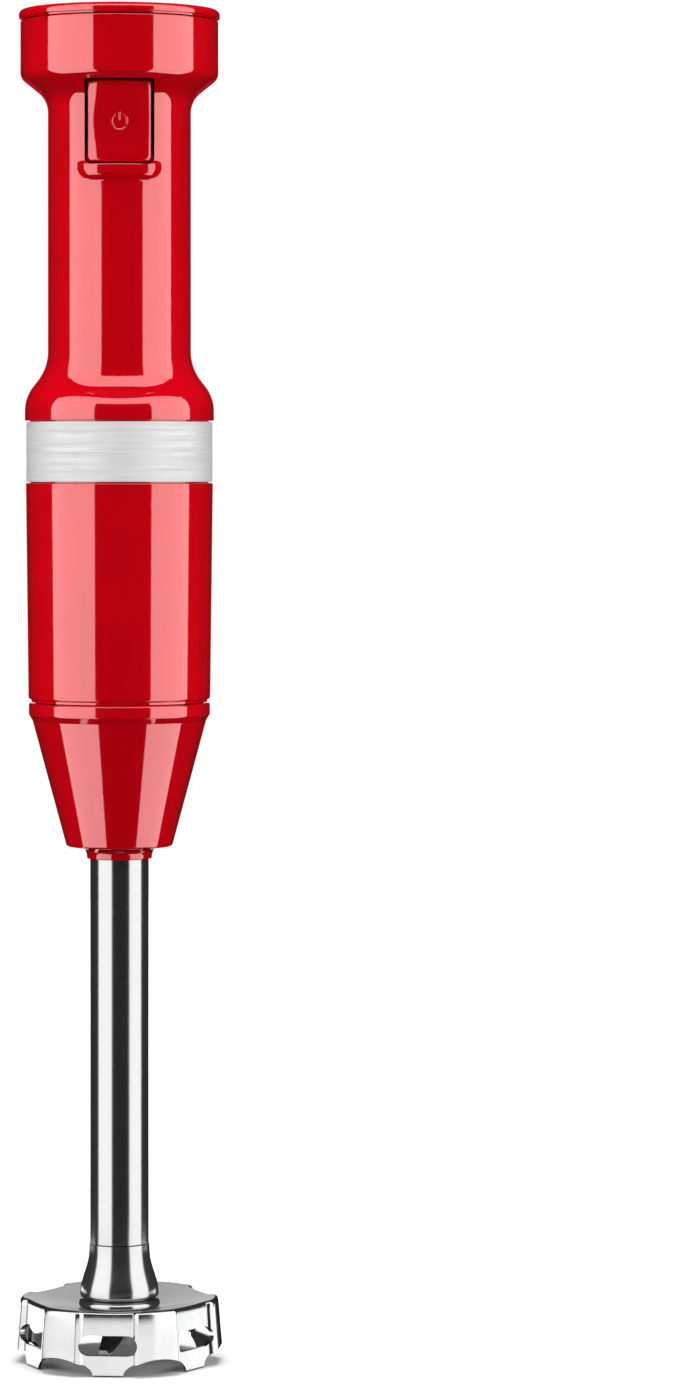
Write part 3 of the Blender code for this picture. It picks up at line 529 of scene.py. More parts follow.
def placed(piece, matrix):
    """Move a piece's own points, so that its origin stays at the axis."""
    piece.data.transform(matrix)
    return piece


def copies(piece, count, first):
    """One object with copies of a piece spread evenly about the Z axis, the first turned by degrees."""
    work = bmesh.new()
    for i in range(count):
        start = len(work.verts)
        work.from_mesh(piece.data)
        work.verts.ensure_lookup_table()
        turn = Matrix.Rotation(math.radians(first + 360 * i / count), 3, "Z")
        bmesh.ops.rotate(work, cent=(0, 0, 0), matrix=turn, verts=work.verts[start:])
    work.to_mesh(piece.data)
    work.free()
    return piece


def combine(piece, tool, operation="DIFFERENCE"):
    """Apply a Boolean with a tool, which is then removed."""
    step = piece.modifiers.new("combine", "BOOLEAN")
    step.operation = operation
    step.solver = "EXACT"
    step.object = tool
    made = bpy.data.meshes.new_from_object(piece.evaluated_get(bpy.context.evaluated_depsgraph_get()))
    piece.modifiers.clear()
    old = piece.data
    piece.data = made
    made.name = piece.name
    bpy.data.meshes.remove(old)
    bpy.data.objects.remove(tool)


def finished(piece, body, slot, *nodes, sharp=38):
    """Shade a piece, attach it to its body and hide the CAD nodes that it replaces.

    A Boolean brings its tool's material along, so all but the first are dropped."""
    mesh = piece.data
    if len(mesh.materials) > 1:
        keep = mesh.materials[0]
        mesh.materials.clear()
        mesh.materials.append(keep)
    mesh.shade_smooth()
    mesh.set_sharp_from_angle(angle=math.radians(sharp))
    weighted = piece.modifiers.new("normals", "WEIGHTED_NORMAL")
    weighted.keep_sharp = True
    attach(piece, body)
    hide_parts(*nodes)


# ---------- handle

# Turns a piece's Z axis to +Y, out of the handle's back.
LAY_DOWN = Matrix.Rotation(-math.pi / 2, 4, "X")
# Screws by side and height.
SHELL_SCREWS = [(-19.0, 402.0), (19.0, 402.0), (0.0, 347.0), (0.0, 300.0)]
BOSS_RADIUS = 4.2
SCREW_FACE = 12.5
SCREW_HOLE = 1.8
SCREW_RECESS = 3.0
GLAND_RADIUS = 5.6
OUTSIDE = 60
# The button's window, and the finger ledge under it.
WINDOW_HALF = 10.6
WINDOW_BOTTOM = 367.0
WINDOW_TOP = 392.75
WINDOW_CORNER, WINDOW_TOP_CORNER = 2.0, 0.5
LEDGE_FACE = 25.0
LEDGE_HALF = 10.4
LEDGE_HEIGHT = 364.2
LEDGE_CORNER = 2.0
LEDGE_RAMP = 2.6
LEDGE_TOP = (WINDOW_BOTTOM - 0.1, WINDOW_BOTTOM + 1.3)
LEDGE_AREA_HALF, LEDGE_AREA_FOOT, LEDGE_AREA_TOP = 14.5, 359.5, 370.5


def handle_outline(grip, flare):
    """The handle's section, as (radius, height), for a grip of that radius."""
    upper_bend, upper_fillet, lower_bend, lower_fillet, inner_low, inner_high = flare
    spigot = BAND_RADIUS - SPIGOT_INSET
    return rounded([
        (HEAD_RADIUS - WALL, HEAD_TOP), (HEAD_RADIUS, HEAD_TOP, 0.5),
        (HEAD_RADIUS, COVE_TOP, COVE_TOP_FILLET), (grip, COVE_FOOT, COVE_FOOT_FILLET),
        (grip, upper_bend, upper_fillet), (SKIRT_RADIUS, lower_bend, lower_fillet),
        (SKIRT_RADIUS, SHELL_BOTTOM, 0.25), (spigot, SHELL_BOTTOM), (spigot, SPIGOT_TOP),
        (SKIRT_RADIUS - WALL, SPIGOT_TOP), (SKIRT_RADIUS - WALL, inner_low),
        (GRIP_RADIUS - WALL, inner_high), (GRIP_RADIUS - WALL, INNER_COVE_FOOT),
        (HEAD_RADIUS - WALL, INNER_COVE_TOP),
    ], steps=14)


def handle_skin(name):
    """A section that changes with the angle, because the grip is deeper than it is wide."""
    wide = handle_outline(GRIP_RADIUS, SIDE_FLARE)
    deep = handle_outline(GRIP_DEPTH, FRONT_FLARE)
    pairs = list(zip(wide, deep))
    angles = [math.tau * (i + 0.5) / AROUND for i in range(AROUND)]
    rings = []
    for before, here in zip(pairs, pairs[1:] + pairs[:1]):
        rows = max(1, math.ceil(math.dist(before[0], here[0]) / HANDLE_ROW))
        for k in range(rows):
            side, front = (
                [a + (b - a) * k / rows for a, b in zip(before[j], here[j])] for j in (0, 1)
            )
            ring = []
            for angle in angles:
                share = math.sin(angle) ** 2
                radius = side[0] + (front[0] - side[0]) * share
                height = side[1] + (front[1] - side[1]) * share
                ring.append((radius * math.cos(angle), radius * math.sin(angle), height))
            rings.append(ring)
    return skin(name, rings, "red_plastic", closed_ends=True)


def smooth(value, start, end):
    """0 before start and 1 after end, with an eased ramp between."""
    t = min(1.0, max(0.0, (value - start) / (end - start)))
    return t * t * (3 - 2 * t)


def ledge_bulge(x, z):
    """How much of the thumb ledge stands out at a place on the front of the grip."""
    past_end = max(0.0, abs(x) - (LEDGE_HALF - LEDGE_CORNER))
    under = max(0.0, LEDGE_HEIGHT + LEDGE_CORNER - z)
    edge = 1 - smooth(math.hypot(past_end, under), LEDGE_CORNER, LEDGE_CORNER + LEDGE_RAMP)
    above = 1 - smooth(z, *LEDGE_TOP)
    return edge * above


def half_handle(name, side):
    """One half of the handle with its screw bosses; side is -1 for the front and 1 for the rear."""
    piece = handle_skin(name)
    if side < 0:
        add_ledge(piece)
    near, far = sorted((-side * OUTSIDE, side * GAP / 2))
    parting = block("parting", (-OUTSIDE, near, 250), (OUTSIDE, far, 450))
    combine(piece, parting)
    for x, z in SHELL_SCREWS:
        reach = boss_reach(x, z)
        combine(piece, rod("boss", BOSS_RADIUS, (x, side * 0.4, z), (x, side * reach, z)), "UNION")
    return piece


def boss_reach(x, z):
    """How far out a boss goes, so that it ends inside the wall."""
    if z < LOW_BOSS:
        return GRIP_RADIUS + 0.5
    outer = HEAD_RADIUS if z > COVE_TOP else GRIP_RADIUS
    return math.sqrt((outer - WALL / 2) ** 2 - (abs(x) + BOSS_RADIUS) ** 2)


def by_ledge(place):
    """Whether a place is on the outside of the handle and near enough to the ledge to need finer rows."""
    x, y, z = place / MM
    outside = y < -17 and math.hypot(x, y) > 21.5
    return outside and abs(x) < LEDGE_AREA_HALF and LEDGE_AREA_FOOT < z < LEDGE_AREA_TOP


def add_ledge(piece):
    """Raise the ledge from the grip, with more rows of points where it is."""
    work = bmesh.new()
    work.from_mesh(piece.data)
    near = [edge for edge in work.edges if all(by_ledge(vert.co) for vert in edge.verts)]
    bmesh.ops.subdivide_edges(work, edges=near, cuts=3, use_grid_fill=True)
    for vert in work.verts:
        x, y, z = vert.co / MM
        outer = GRIP_RADIUS + (GRIP_DEPTH - GRIP_RADIUS) * math.sin(math.atan2(y, x)) ** 2
        on_skin = abs(math.hypot(x, y) - outer) < 0.4
        if y < -15 and on_skin:
            grip = abs(y)
            ledge = LEDGE_FACE - FACE_CURVE + math.sqrt(FACE_CURVE ** 2 - x * x)
            vert.co.y = -(grip + ledge_bulge(x, z) * (ledge - grip)) * MM
    work.to_mesh(piece.data)
    work.free()


def window_cutter():
    """The button's window, with rounded lower corners."""
    outline = rounded([
        (-WINDOW_HALF, WINDOW_TOP, WINDOW_TOP_CORNER), (-WINDOW_HALF, WINDOW_BOTTOM, WINDOW_CORNER),
        (WINDOW_HALF, WINDOW_BOTTOM, WINDOW_CORNER), (WINDOW_HALF, WINDOW_TOP, WINDOW_TOP_CORNER),
    ], closed=True)
    cutter = prism("window", outline, length=28)
    to_front = Matrix.Translation((0, -26 * MM, 0))
    return placed(cutter, to_front @ Matrix.Rotation(math.pi / 2, 4, "X"))


def make_front_handle():
    piece = half_handle("handle_front", -1)
    combine(piece, window_cutter())
    for x, z in SHELL_SCREWS:
        combine(piece, rod("hole", SCREW_HOLE, (x, -12, z), (x, 1, z), steps=24))
    finished(piece, "motor_body", "red_plastic", "front_shell")


def make_rear_handle():
    piece = half_handle("handle_rear", 1)
    for x, z in SHELL_SCREWS:
        combine(piece, rod("hole", SCREW_HOLE, (x, -1, z), (x, SCREW_FACE + 1, z), steps=24))
        combine(piece, rod("recess", SCREW_RECESS, (x, SCREW_FACE, z), (x, 40, z), steps=40))
    middle = middle_height("cord_gland")
    combine(piece, rod("gland_hole", GLAND_RADIUS + GAP, (0, 20, middle), (0, 40, middle), steps=64))
    finished(piece, "motor_body", "red_plastic", "rear_shell")


def make_screws():
    """Pan-head screws with a cross recess, lying along Y."""
    dome, rim, under = 2.0, 2.6, 0.3
    shank, length = 1.4, 22.0
    head = rounded([(0, dome), (2.2, dome, 0.8), (rim, under, 0.3), (shank, under)])
    outline = head + [(shank, -length), (0, -length)]
    for i, (x, z) in enumerate(SHELL_SCREWS, 1):
        piece = turned(f"case_screw_{i}", with_rows(outline, 4), "plain_steel", steps=40)
        for width, height in ((0.7, 3.0), (3.0, 0.7)):
            cross = block("cross", (-width / 2, -height / 2, 1.0), (width / 2, height / 2, 3.0))
            combine(piece, cross)
        placed(piece, Matrix.Translation((x * MM, SCREW_FACE * MM, z * MM)) @ LAY_DOWN)
        finished(piece, "motor_body", "plain_steel", f"shell_screw_{i}")


def make_gland():
    """The strain-relief bushing, with a rounded lip at its mouth and a flange inside the wall."""
    mouth = high("cord_gland", 1)
    bore, flange, flange_outer, flange_inner = 3.6, 6.9, 26.3, 24.2
    outline = rounded([
        (bore, mouth - 0.6), (bore + 0.4, mouth, 0.35), (GLAND_RADIUS, mouth, 0.5),
        (GLAND_RADIUS, flange_outer), (flange, flange_outer, 0.3), (flange, flange_inner, 0.3),
        (bore, flange_inner, 0.3),
    ], closed=True)
    piece = turned("gland", with_rows(outline), "black_rubber", AROUND_SMALL)
    placed(piece, Matrix.Translation((0, 0, middle_height("cord_gland") * MM)) @ LAY_DOWN)
    finished(piece, "motor_body", "black_rubber", "cord_gland")


def make_dial():
    """The cap with its skirt and stem, a finger dimple and five marks that grow round the rim."""
    stem, bore, step = 6.0, 3.3, 27.0
    floor, recess, bore_top = 412.9, 412.45, 413.9
    outline = rounded([
        (0, DIAL_TOP), (DIAL_RADIUS, DIAL_TOP, 1.5), (DIAL_RADIUS, floor, 0.4), (DIAL_RADIUS - 0.8, floor),
        (DIAL_RADIUS - 0.8, recess), (step, recess), (step, floor), (stem, floor, 0.5),
        (stem, DIAL_FOOT), (bore, DIAL_FOOT), (bore, bore_top), (0, bore_top),
    ])
    piece = turned("dial", with_rows(outline, 2.5), "red_plastic")
    combine(piece, sphere("dimple", 22.0, (0, -20, DIAL_TOP + 20.9)))
    ring, spacing = 24.5, 18
    for i in range(5):
        angle = math.radians(90 + spacing * (i - 2))
        centre = (ring * math.cos(angle), ring * math.sin(angle), DIAL_TOP + 0.25)
        combine(piece, sphere("mark", 0.62 + 0.16 * i, centre))
    finished(piece, "dial_body", "red_plastic", "speed_dial")


# ---------- button

SYMBOL_HEIGHT = 380.0
SYMBOL_RADIUS = 2.35
SYMBOL_STROKE = 0.42
SYMBOL_DEPTH = 0.14
SYMBOL_OPENING = 38
SYMBOL_BLUR = 0.09
BUTTON_HALF = high("power_button", 0) - 0.9
BUTTON_BOTTOM = 367.55
BUTTON_TOP = 392.45
BUTTON_EDGE = 1.25
BUTTON_BACK = -15.5
DISH_DEPTH = 0.55
FACE_CURVE = 26.0


def symbol_groove(x, z):
    """Depth of the debossed stroke, 0 to 1: an open ring with an upright bar."""
    radius, angle = math.hypot(x, z), math.degrees(math.atan2(x, z))
    ring = abs(radius - SYMBOL_RADIUS)
    if abs(angle) < SYMBOL_OPENING:
        end = math.radians(SYMBOL_OPENING)
        ring = math.hypot(abs(x) - SYMBOL_RADIUS * math.sin(end), z - SYMBOL_RADIUS * math.cos(end))
    bar = math.hypot(x, max(0.0, 0.45 - z, z - 2.6))
    edge = SYMBOL_STROKE / 2
    return 1 - smooth(min(ring, bar), edge - SYMBOL_BLUR, edge + SYMBOL_BLUR)


def button_outline(inset):
    """The rounded outline of the button's face about the symbol, at an inset from its edge."""
    half = BUTTON_HALF - inset
    bottom = BUTTON_BOTTOM + inset - SYMBOL_HEIGHT
    top = BUTTON_TOP - inset - SYMBOL_HEIGHT
    corner, top_corner = max(0.5, 2.0 - inset), max(0.4, 1.0 - inset)
    points = rounded([
        (-half, top, top_corner), (-half, bottom, corner), (half, bottom, corner), (half, top, top_corner),
    ], steps=8, closed=True)
    dense = []
    for before, here in zip(points, points[1:] + points[:1]):
        count = 26 if math.dist(before, here) > 3 else 1
        dense += [tuple(a + (b - a) * i / count for a, b in zip(before, here)) for i in range(count)]
    return dense


def button_face(x, z):
    """The Y of the face: slightly crowned across, dished for the finger, with the symbol sunk in."""
    crown = FACE_CURVE - math.sqrt(FACE_CURVE ** 2 - x * x)
    dish = DISH_DEPTH * math.exp(-((x / 7.2) ** 2 + (z / 7.0) ** 2))
    return BUTTON_FACE + crown + dish + SYMBOL_DEPTH * symbol_groove(x, z)


def make_button():
    """Its sides, a rounded edge, the face in shrinking rings, and the flange and presser behind."""
    rings = [[(0, BUTTON_BACK, SYMBOL_HEIGHT)]]
    for depth in (BUTTON_BACK, -18.0, -20.0, -22.0, -23.4):
        rings.append([(x, depth, z + SYMBOL_HEIGHT) for x, z in button_outline(0)])
    for i in range(9):
        angle = math.pi / 2 * i / 8
        inset = BUTTON_EDGE * (1 - math.cos(angle))
        sink = BUTTON_EDGE * (1 - math.sin(angle))
        outline = button_outline(inset)
        rings.append([(x, button_face(x, z) + sink, z + SYMBOL_HEIGHT) for x, z in outline])
    edge = button_outline(BUTTON_EDGE)
    for i in range(1, 60):
        scale = 1 - i / 60
        rings.append([
            (x * scale, button_face(x * scale, z * scale), z * scale + SYMBOL_HEIGHT) for x, z in edge
        ])
    rings.append([(0, button_face(0, 0), SYMBOL_HEIGHT)])
    piece = skin("button", rings, "red_plastic")
    combine(piece, block("flange", (-11.2, -15.9, 366.2), (11.2, -14.7, 393.5)), "UNION")
    combine(piece, block("presser", (-2.5, -15.0, 368), (2.5, -12.3, 372)), "UNION")
    finished(piece, "button_body", "red_plastic", "power_button")


# ---------- band, housing and arm


def make_band():
    inner = 27.75
    outline = rounded([
        (inner, BAND_TOP), (BAND_RADIUS, BAND_TOP, 0.3), (BAND_RADIUS, BAND_BOTTOM, 0.3),
        (inner, BAND_BOTTOM),
    ])
    piece = turned("band", with_rows(outline, LONG_ROW), "brushed_steel")
    finished(piece, "motor_body", "brushed_steel", "trim_band")


def make_housing():
    """The tapered outside, a spigot up into the band and a short one down into the collar's ring."""
    spigot, shoulder, foot = 27.45, 270.1, 202.85
    outline = rounded([
        (spigot, 292.3), (spigot, shoulder), (HOUSING_RADIUS, shoulder, 0.4), (28.0, HOUSING_BOTTOM, 0.9),
        (27.1, HOUSING_BOTTOM), (27.1, foot), (26.0, foot), (26.0, HOUSING_BOTTOM + 1), (26.8, 268.0),
        (26.8, 272.5), (25.5, 272.5), (25.5, 292.3),
    ])
    piece = turned("housing", with_rows(outline, LONG_ROW), "red_plastic")
    finished(piece, "motor_body", "red_plastic", "motor_housing")


def make_collar():
    """A ring at the top, the long cone, and a small neck that grips the tube."""
    bore = TUBE_RADIUS + GAP
    ring_foot, cone_top, cone_foot, floor = 198.9, 197.0, 158.4, 160.4
    outline = rounded([
        (25.6, COLLAR_TOP), (COLLAR_RADIUS, COLLAR_TOP, 0.7), (COLLAR_RADIUS, ring_foot, 0.9),
        (26.75, cone_top, 0.5), (16.3, cone_foot, 1.0), (10.2, 157.6, 2.4), (10.0, COLLAR_BOTTOM, 0.45),
        (bore, COLLAR_BOTTOM), (bore, floor), (14.6, floor), (24.3, 196.5), (25.6, 198.5),
    ])
    piece = turned("collar", with_rows(outline, LONG_ROW), "red_plastic")
    finished(piece, "arm_body", "red_plastic", "arm_collar")


def make_tube():
    inner, bottom = 8.0, low("arm_tube", 2)
    outline = [(TUBE_RADIUS, TUBE_TOP), (TUBE_RADIUS, bottom), (inner, bottom), (inner, TUBE_TOP)]
    piece = turned("tube", with_rows(outline, 8), "polished_steel", AROUND_STEEL)
    finished(piece, "arm_body", "polished_steel", "arm_tube")


def make_neck():
    """The flare at the foot of the tube, and the rounded ring that it stands on."""
    bore = 6.0
    outline = rounded([
        (bore, NECK_TOP), (9.25, NECK_TOP), (9.3, 31.6, 20.0), (11.9, 23.4, 12.0),
        (NECK_RADIUS, NECK_BOTTOM, 1.1), (bore, NECK_BOTTOM),
    ])
    piece = turned("neck", with_rows(outline), "polished_steel", AROUND_STEEL)
    finished(piece, "arm_body", "polished_steel", "bell_neck")
    radius, top = high("neck_ring", 0) + 0.5, RING_TOP + 0.1
    outline = rounded([(bore, top), (radius, top, 1.7), (radius, RING_BOTTOM, 0.6), (bore, RING_BOTTOM)])
    ring = turned("foot_ring", outline, "polished_steel", AROUND_STEEL)
    finished(ring, "arm_body", "polished_steel", "neck_ring")


# ---------- blade guard

# Six lobes with flat panels between them. A step is the wall between a panel and a lobe. Directions are in
# degrees about the axis, 270 being the front.
SIDES = 6
FRONT_WINDOW = 263.0
RIM_HEIGHT = high("blade_guard", 2)
RIM_RADIUS = 30.4
FOOT_RADIUS = 32.0
PANEL_TOP = 27.5
PANEL_BOTTOM = 28.9
PANEL_HALF = 7.55
PANEL_GAIN = 0.547
STEP_SLOPE = 0.95
SHEET = 1.15
LOBE_EDGE = 2.2
STEP_FOOT = 0.3
# The dished top, the rim that hangs round its bore, and the openings.
DISH_RADIUS = 12.3
DISH_FOOT = 16.6
DISH_SLOPE = 0.186
RIM_FILLET = 1.3
FOOT_LIP = 0.3
ROOF = 1.7
BORE_RIM_RADIUS = 8.8
BORE_RIM_TOP, BORE_RIM_FOOT = 14.8, 14.0
GUARD_BORE = 6.0
SLOT_RADIUS, SLOT_REACH, SLOT_HEIGHT = 3.05, 5.9, 9.15
ARCH_HALF_WIDTH, ARCH_RISE = 10.45, 5.2
UPRIGHT = Matrix.Rotation(math.pi / 2, 4, "Z") @ Matrix.Rotation(math.pi / 2, 4, "X")


def guard_outline(height, inset):
    """The guard's outline at a height: six lobes with flat windows between, all fillets in step."""
    fall = (RIM_HEIGHT - height) / RIM_HEIGHT
    lobe = RIM_RADIUS + (FOOT_RADIUS - RIM_RADIUS) * fall - inset
    flat = PANEL_TOP + (PANEL_BOTTOM - PANEL_TOP) * fall - inset
    half = PANEL_HALF + PANEL_GAIN * inset
    corner_depth = lobe - flat
    for _ in range(4):
        side = half + STEP_SLOPE * corner_depth
        corner_depth = math.sqrt(lobe ** 2 - side ** 2) - flat
    corners = []
    lobe_start = math.degrees(math.atan2(side, flat + corner_depth))
    convex = max(0.35, LOBE_EDGE - inset)
    concave = STEP_FOOT + inset
    corner = flat + corner_depth
    span = 360 / SIDES - 2 * lobe_start
    for i in range(SIDES):
        turn = math.radians(FRONT_WINDOW + 360 / SIDES * i)
        for x, y, *fillet in (
            (corner, -side, convex), (flat, -half, concave), (flat, -half / 3), (flat, half / 3),
            (flat, half, concave), (corner, side, convex),
        ):
            turned_x = x * math.cos(turn) - y * math.sin(turn)
            turned_y = x * math.sin(turn) + y * math.cos(turn)
            corners.append((turned_x, turned_y, *fillet))
        for k in range(9):
            angle = turn + math.radians(lobe_start + span * (0.16 + 0.68 * k / 8))
            corners.append((lobe * math.cos(angle), lobe * math.sin(angle)))
    return rounded(corners, steps=7, closed=True)


def guard_ring(height, inset):
    return [(x, y, height) for x, y in guard_outline(height, inset)]


def scaled_ring(ring, radius_of, height_of):
    """A ring moved along its own rays to another radius, with its height from that radius."""
    made = []
    for x, y, _ in ring:
        radius = math.hypot(x, y)
        new = radius_of(radius)
        made.append((x * new / radius, y * new / radius, height_of(new)))
    return made


def make_guard():
    """Rings from the rim down the outside, round the foot, up inside, and back over the dish."""
    rim = []
    for i in range(7):
        angle = math.pi / 2 * i / 6
        inset = RIM_FILLET * (1 - math.sin(angle))
        drop = RIM_FILLET * (1 - math.cos(angle))
        outline = guard_outline(RIM_HEIGHT - drop, inset)
        rim.append([(x, y, dish_height(math.hypot(x, y)) - drop) for x, y in outline])
    rings = rim + [guard_ring(float(z), 0) for z in np.linspace(RIM_HEIGHT - 2.3, 0.35, 14)]
    for i in range(1, 4):
        angle = math.pi / 2 * i / 3
        rings.append(guard_ring(FOOT_LIP * (1 - math.sin(angle)), FOOT_LIP * (1 - math.cos(angle))))
    rings += [guard_ring(0, SHEET - FOOT_LIP), guard_ring(FOOT_LIP, SHEET)]
    rings += [guard_ring(float(z), SHEET) for z in np.linspace(1.5, RIM_HEIGHT - 3.4, 9)]
    under = rings[-1]
    for share in (0.85, 0.5, 0.25, 0.0):
        rings.append(scaled_ring(
            under, lambda r, s=share: DISH_RADIUS + (r - 1.2 - DISH_RADIUS) * s,
            lambda r: dish_height(r) - ROOF,
        ))
    for radius, height in (
        (BORE_RIM_RADIUS, BORE_RIM_TOP), (BORE_RIM_RADIUS, BORE_RIM_FOOT),
        (GUARD_BORE, BORE_RIM_FOOT), (GUARD_BORE, DISH_FOOT),
    ):
        rings.append(scaled_ring(under, lambda r, new=radius: new, lambda r, new=height: new))
    for share in (0.0, 0.15, 0.3, 0.5, 0.7, 0.85, 0.95):
        rings.append(scaled_ring(
            rim[0], lambda r, s=share: DISH_RADIUS + (r - DISH_RADIUS) * s, dish_height,
        ))
    piece = skin("guard", rings, "bell_steel", closed_ends=True)
    combine(piece, slots())
    combine(piece, arches())
    finished(piece, "arm_body", "polished_steel", "blade_guard", sharp=34)
    shade_inside_faces(piece)


def shade_inside_faces(piece):
    """Give the guard's inner and downward faces the darker material, which is painted shade inside the
    guard.
    """
    piece.data.materials.append(MATERIALS["bell_inside_painted_shade"])
    for face in piece.data.polygons:
        out = Vector((face.center.x, face.center.y, 0))
        inward = face.normal.dot(out.normalized()) < -0.5
        under = face.normal.z < -0.3 and face.center.z > 5 * MM
        if inward or under:
            face.material_index = 1


def dish_height(radius):
    """The height of the guard's top at a radius: flat inside, then rising to the rim."""
    return min(RIM_HEIGHT, DISH_FOOT + max(0.0, radius - DISH_RADIUS) * DISH_SLOPE)


def slots():
    """A round-ended slot through each flat window."""
    right = arc((SLOT_REACH, 0), SLOT_RADIUS, -90, 90, 20)
    left = arc((-SLOT_REACH, 0), SLOT_RADIUS, 90, 270, 20)
    tool = prism("slots", right + left, length=12)
    placed(tool, Matrix.Translation((30 * MM, 0, SLOT_HEIGHT * MM)) @ UPRIGHT)
    return copies(tool, SIDES, FRONT_WINDOW)


def arches():
    """A half-ellipse cut from the foot of each lobe."""
    angles = [math.tau * i / 72 for i in range(72)]
    outline = [(ARCH_HALF_WIDTH * math.cos(angle), ARCH_RISE * math.sin(angle)) for angle in angles]
    tool = prism("arches", outline, length=14)
    placed(tool, Matrix.Translation((29.5 * MM, 0, 0)) @ UPRIGHT)
    return copies(tool, SIDES, FRONT_WINDOW + 180 / SIDES)


# ---------- blade

BLADE_MIDDLE = 9.9
BLADE_HALF = 0.6
BLADE_BORE = 3.3
WING_LENGTH = 16.0
WING_ROOT = 5.0


def wing(bend):
    """One wing, ground to an edge on its leading side, bent from the flat middle."""
    section = [
        (-1.0, -BLADE_HALF), (1.0, -BLADE_HALF), (1.0, BLADE_HALF), (-0.45, BLADE_HALF), (-1.0, -0.35),
    ]
    rings = []
    for i in range(13):
        along = -0.8 + (WING_LENGTH + 0.8) * i / 12
        share = max(0.0, along) / WING_LENGTH
        front = 3.6 - 1.0 * share ** 2 - 0.6 * smooth(along, WING_LENGTH - 1.5, WING_LENGTH)
        back = 3.6 - 2.4 * share
        middle, half = (front - back) / 2, (front + back) / 2
        rise = math.tan(math.radians(bend)) * along * smooth(along, -1.5, 3.5)
        rings.append([
            (WING_ROOT + along, middle - across * half, BLADE_MIDDLE + rise + lift)
            for across, lift in section
        ])
    piece = skin("wing", rings)
    work = bmesh.new()
    work.from_mesh(piece.data)
    bmesh.ops.holes_fill(work, edges=work.edges)
    bmesh.ops.recalc_face_normals(work, faces=work.faces)
    work.to_mesh(piece.data)
    work.free()
    return piece


def make_blade():
    """A washer with two raised and two lowered wings, and the hub above it."""
    top, bottom, radius = BLADE_MIDDLE + BLADE_HALF, BLADE_MIDDLE - BLADE_HALF, 6.6
    outline = [(BLADE_BORE, top), (radius, top, 0.15), (radius, bottom, 0.15), (BLADE_BORE, bottom)]
    piece = turned("blade_cross", rounded(outline), "plain_steel", AROUND_SMALL)
    for bend, first in ((14, -14), (-14, 76)):
        combine(piece, copies(wing(bend), 2, first), "UNION")
    finished(piece, "drive_body", "plain_steel", "blade", sharp=30)
    top, bottom, radius = 13.9, 11.0, 4.6
    outline = [(BLADE_BORE, top), (radius, top, 0.4), (radius, bottom, 0.2), (BLADE_BORE, bottom)]
    hub = turned("hub", rounded(outline), "plain_steel", AROUND_SMALL)
    finished(hub, "drive_body", "plain_steel", "blade_hub")


def make_nut():
    """A hexagon nut with chamfered corners."""
    corner, thickness, middle = 5.2, 3.7, 6.85
    hexagon = prism("nut", arc((0, 0), corner, 0, 300, 5), thickness)
    placed(hexagon, Matrix.Translation((0, 0, middle * MM)))
    hexagon.data.materials.append(MATERIALS["plain_steel"])
    outline = [(0, 8.8), (4.55, 8.75), (5.6, 8.2), (5.6, 5.5), (4.55, 4.95), (0, 4.9)]
    combine(hexagon, turned("chamfer", outline, steps=AROUND_SMALL), "INTERSECT")
    combine(hexagon, rod("bore", BLADE_BORE, (0, 0, 6.0), (0, 0, 12)))
    finished(hexagon, "drive_body", "plain_steel", "blade_nut", sharp=25)


# ---------- studio


def floor_glow(nodes, links):
    """The floor's glow from the distance to the foot: a painted shadow that makes it dark inside the
    guard, and a painted glow that grows to white far away.
    """
    place = nodes.new("ShaderNodeTexCoord")
    distance = nodes.new("ShaderNodeVectorMath")
    distance.operation = "LENGTH"
    links.new(place.outputs["Object"], distance.inputs[0])
    least = nodes.new("ShaderNodeMath")
    least.operation = "MINIMUM"
    # Painted shadow: the glow drops to 0.01 inside the guard; beyond it a painted glow rises from 0.3
    # beside the foot to full far away.
    painted_shadow_under_guard = {"From_Min": 0.03, "From_Max": 0.055, "To_Min": 0.01, "To_Max": 1.0}
    painted_glow_far_away = {"From_Min": 0.06, "From_Max": 0.9, "To_Min": 0.3, "To_Max": 1.0}
    for socket, limits in zip(least.inputs, (painted_shadow_under_guard, painted_glow_far_away)):
        ramp = new_node(nodes, "MapRange", **limits)
        links.new(distance.outputs["Value"], ramp.inputs["Value"])
        links.new(ramp.outputs["Result"], socket)
    return least.outputs[0]


def make_floor():
    """A pale floor that glows softly, with a painted shadow under the guard, which reflections don't see.
    """
    material = glow("studio_floor", grey=0.86)
    nodes, links = material.node_tree.nodes, material.node_tree.links
    shader = nodes["Principled BSDF"]
    set_inputs(shader, Roughness=0.9)
    links.new(floor_glow(nodes, links), shader.inputs["Emission Strength"])
    work = bmesh.new()
    bmesh.ops.create_circle(work, cap_ends=True, segments=96, radius=1.6)
    bmesh.ops.translate(work, vec=(0, 0, -0.0002), verts=work.verts)
    floor = stage_piece("floor", work, material)
    floor.visible_glossy = False
    floor.visible_diffuse = False


def make_reflectors():
    """Low cards round the foot for the guard's walls, and one overhead for the handle's flare."""
    for side, start, end, bottom, top, radius, strength in (
        ("far_left", 122, 160, -0.02, 0.012, 0.15, 2.4),
        ("left", 177, 240, -0.006, 0.013, 0.15, 1.8),
        ("front", 247, 300, -0.004, 0.0165, 0.06, 1.8),
        ("right", 304, 332, -0.006, 0.013, 0.15, 2.1),
        ("far_right", 362, 400, -0.02, 0.012, 0.15, 2.3),
    ):
        reflector("reflector_" + side, start, end, bottom, top, radius, strength)
    reflector("overhead", 182, 360, 31, 60, radius=1.6, strength=2.3, corner=46)


def glow(name, strength=1.0, grey=0.0):
    """A material that shines white and has no gloss, with a grey of its own under the light."""
    material = bpy.data.materials.new(name)
    material.use_nodes = True
    set_inputs(
        material.node_tree.nodes["Principled BSDF"], Base_Color=(grey, grey, grey, 1),
        Specular_IOR_Level=0.0, Emission_Color=(1, 1, 1, 1), Emission_Strength=strength,
    )
    return material


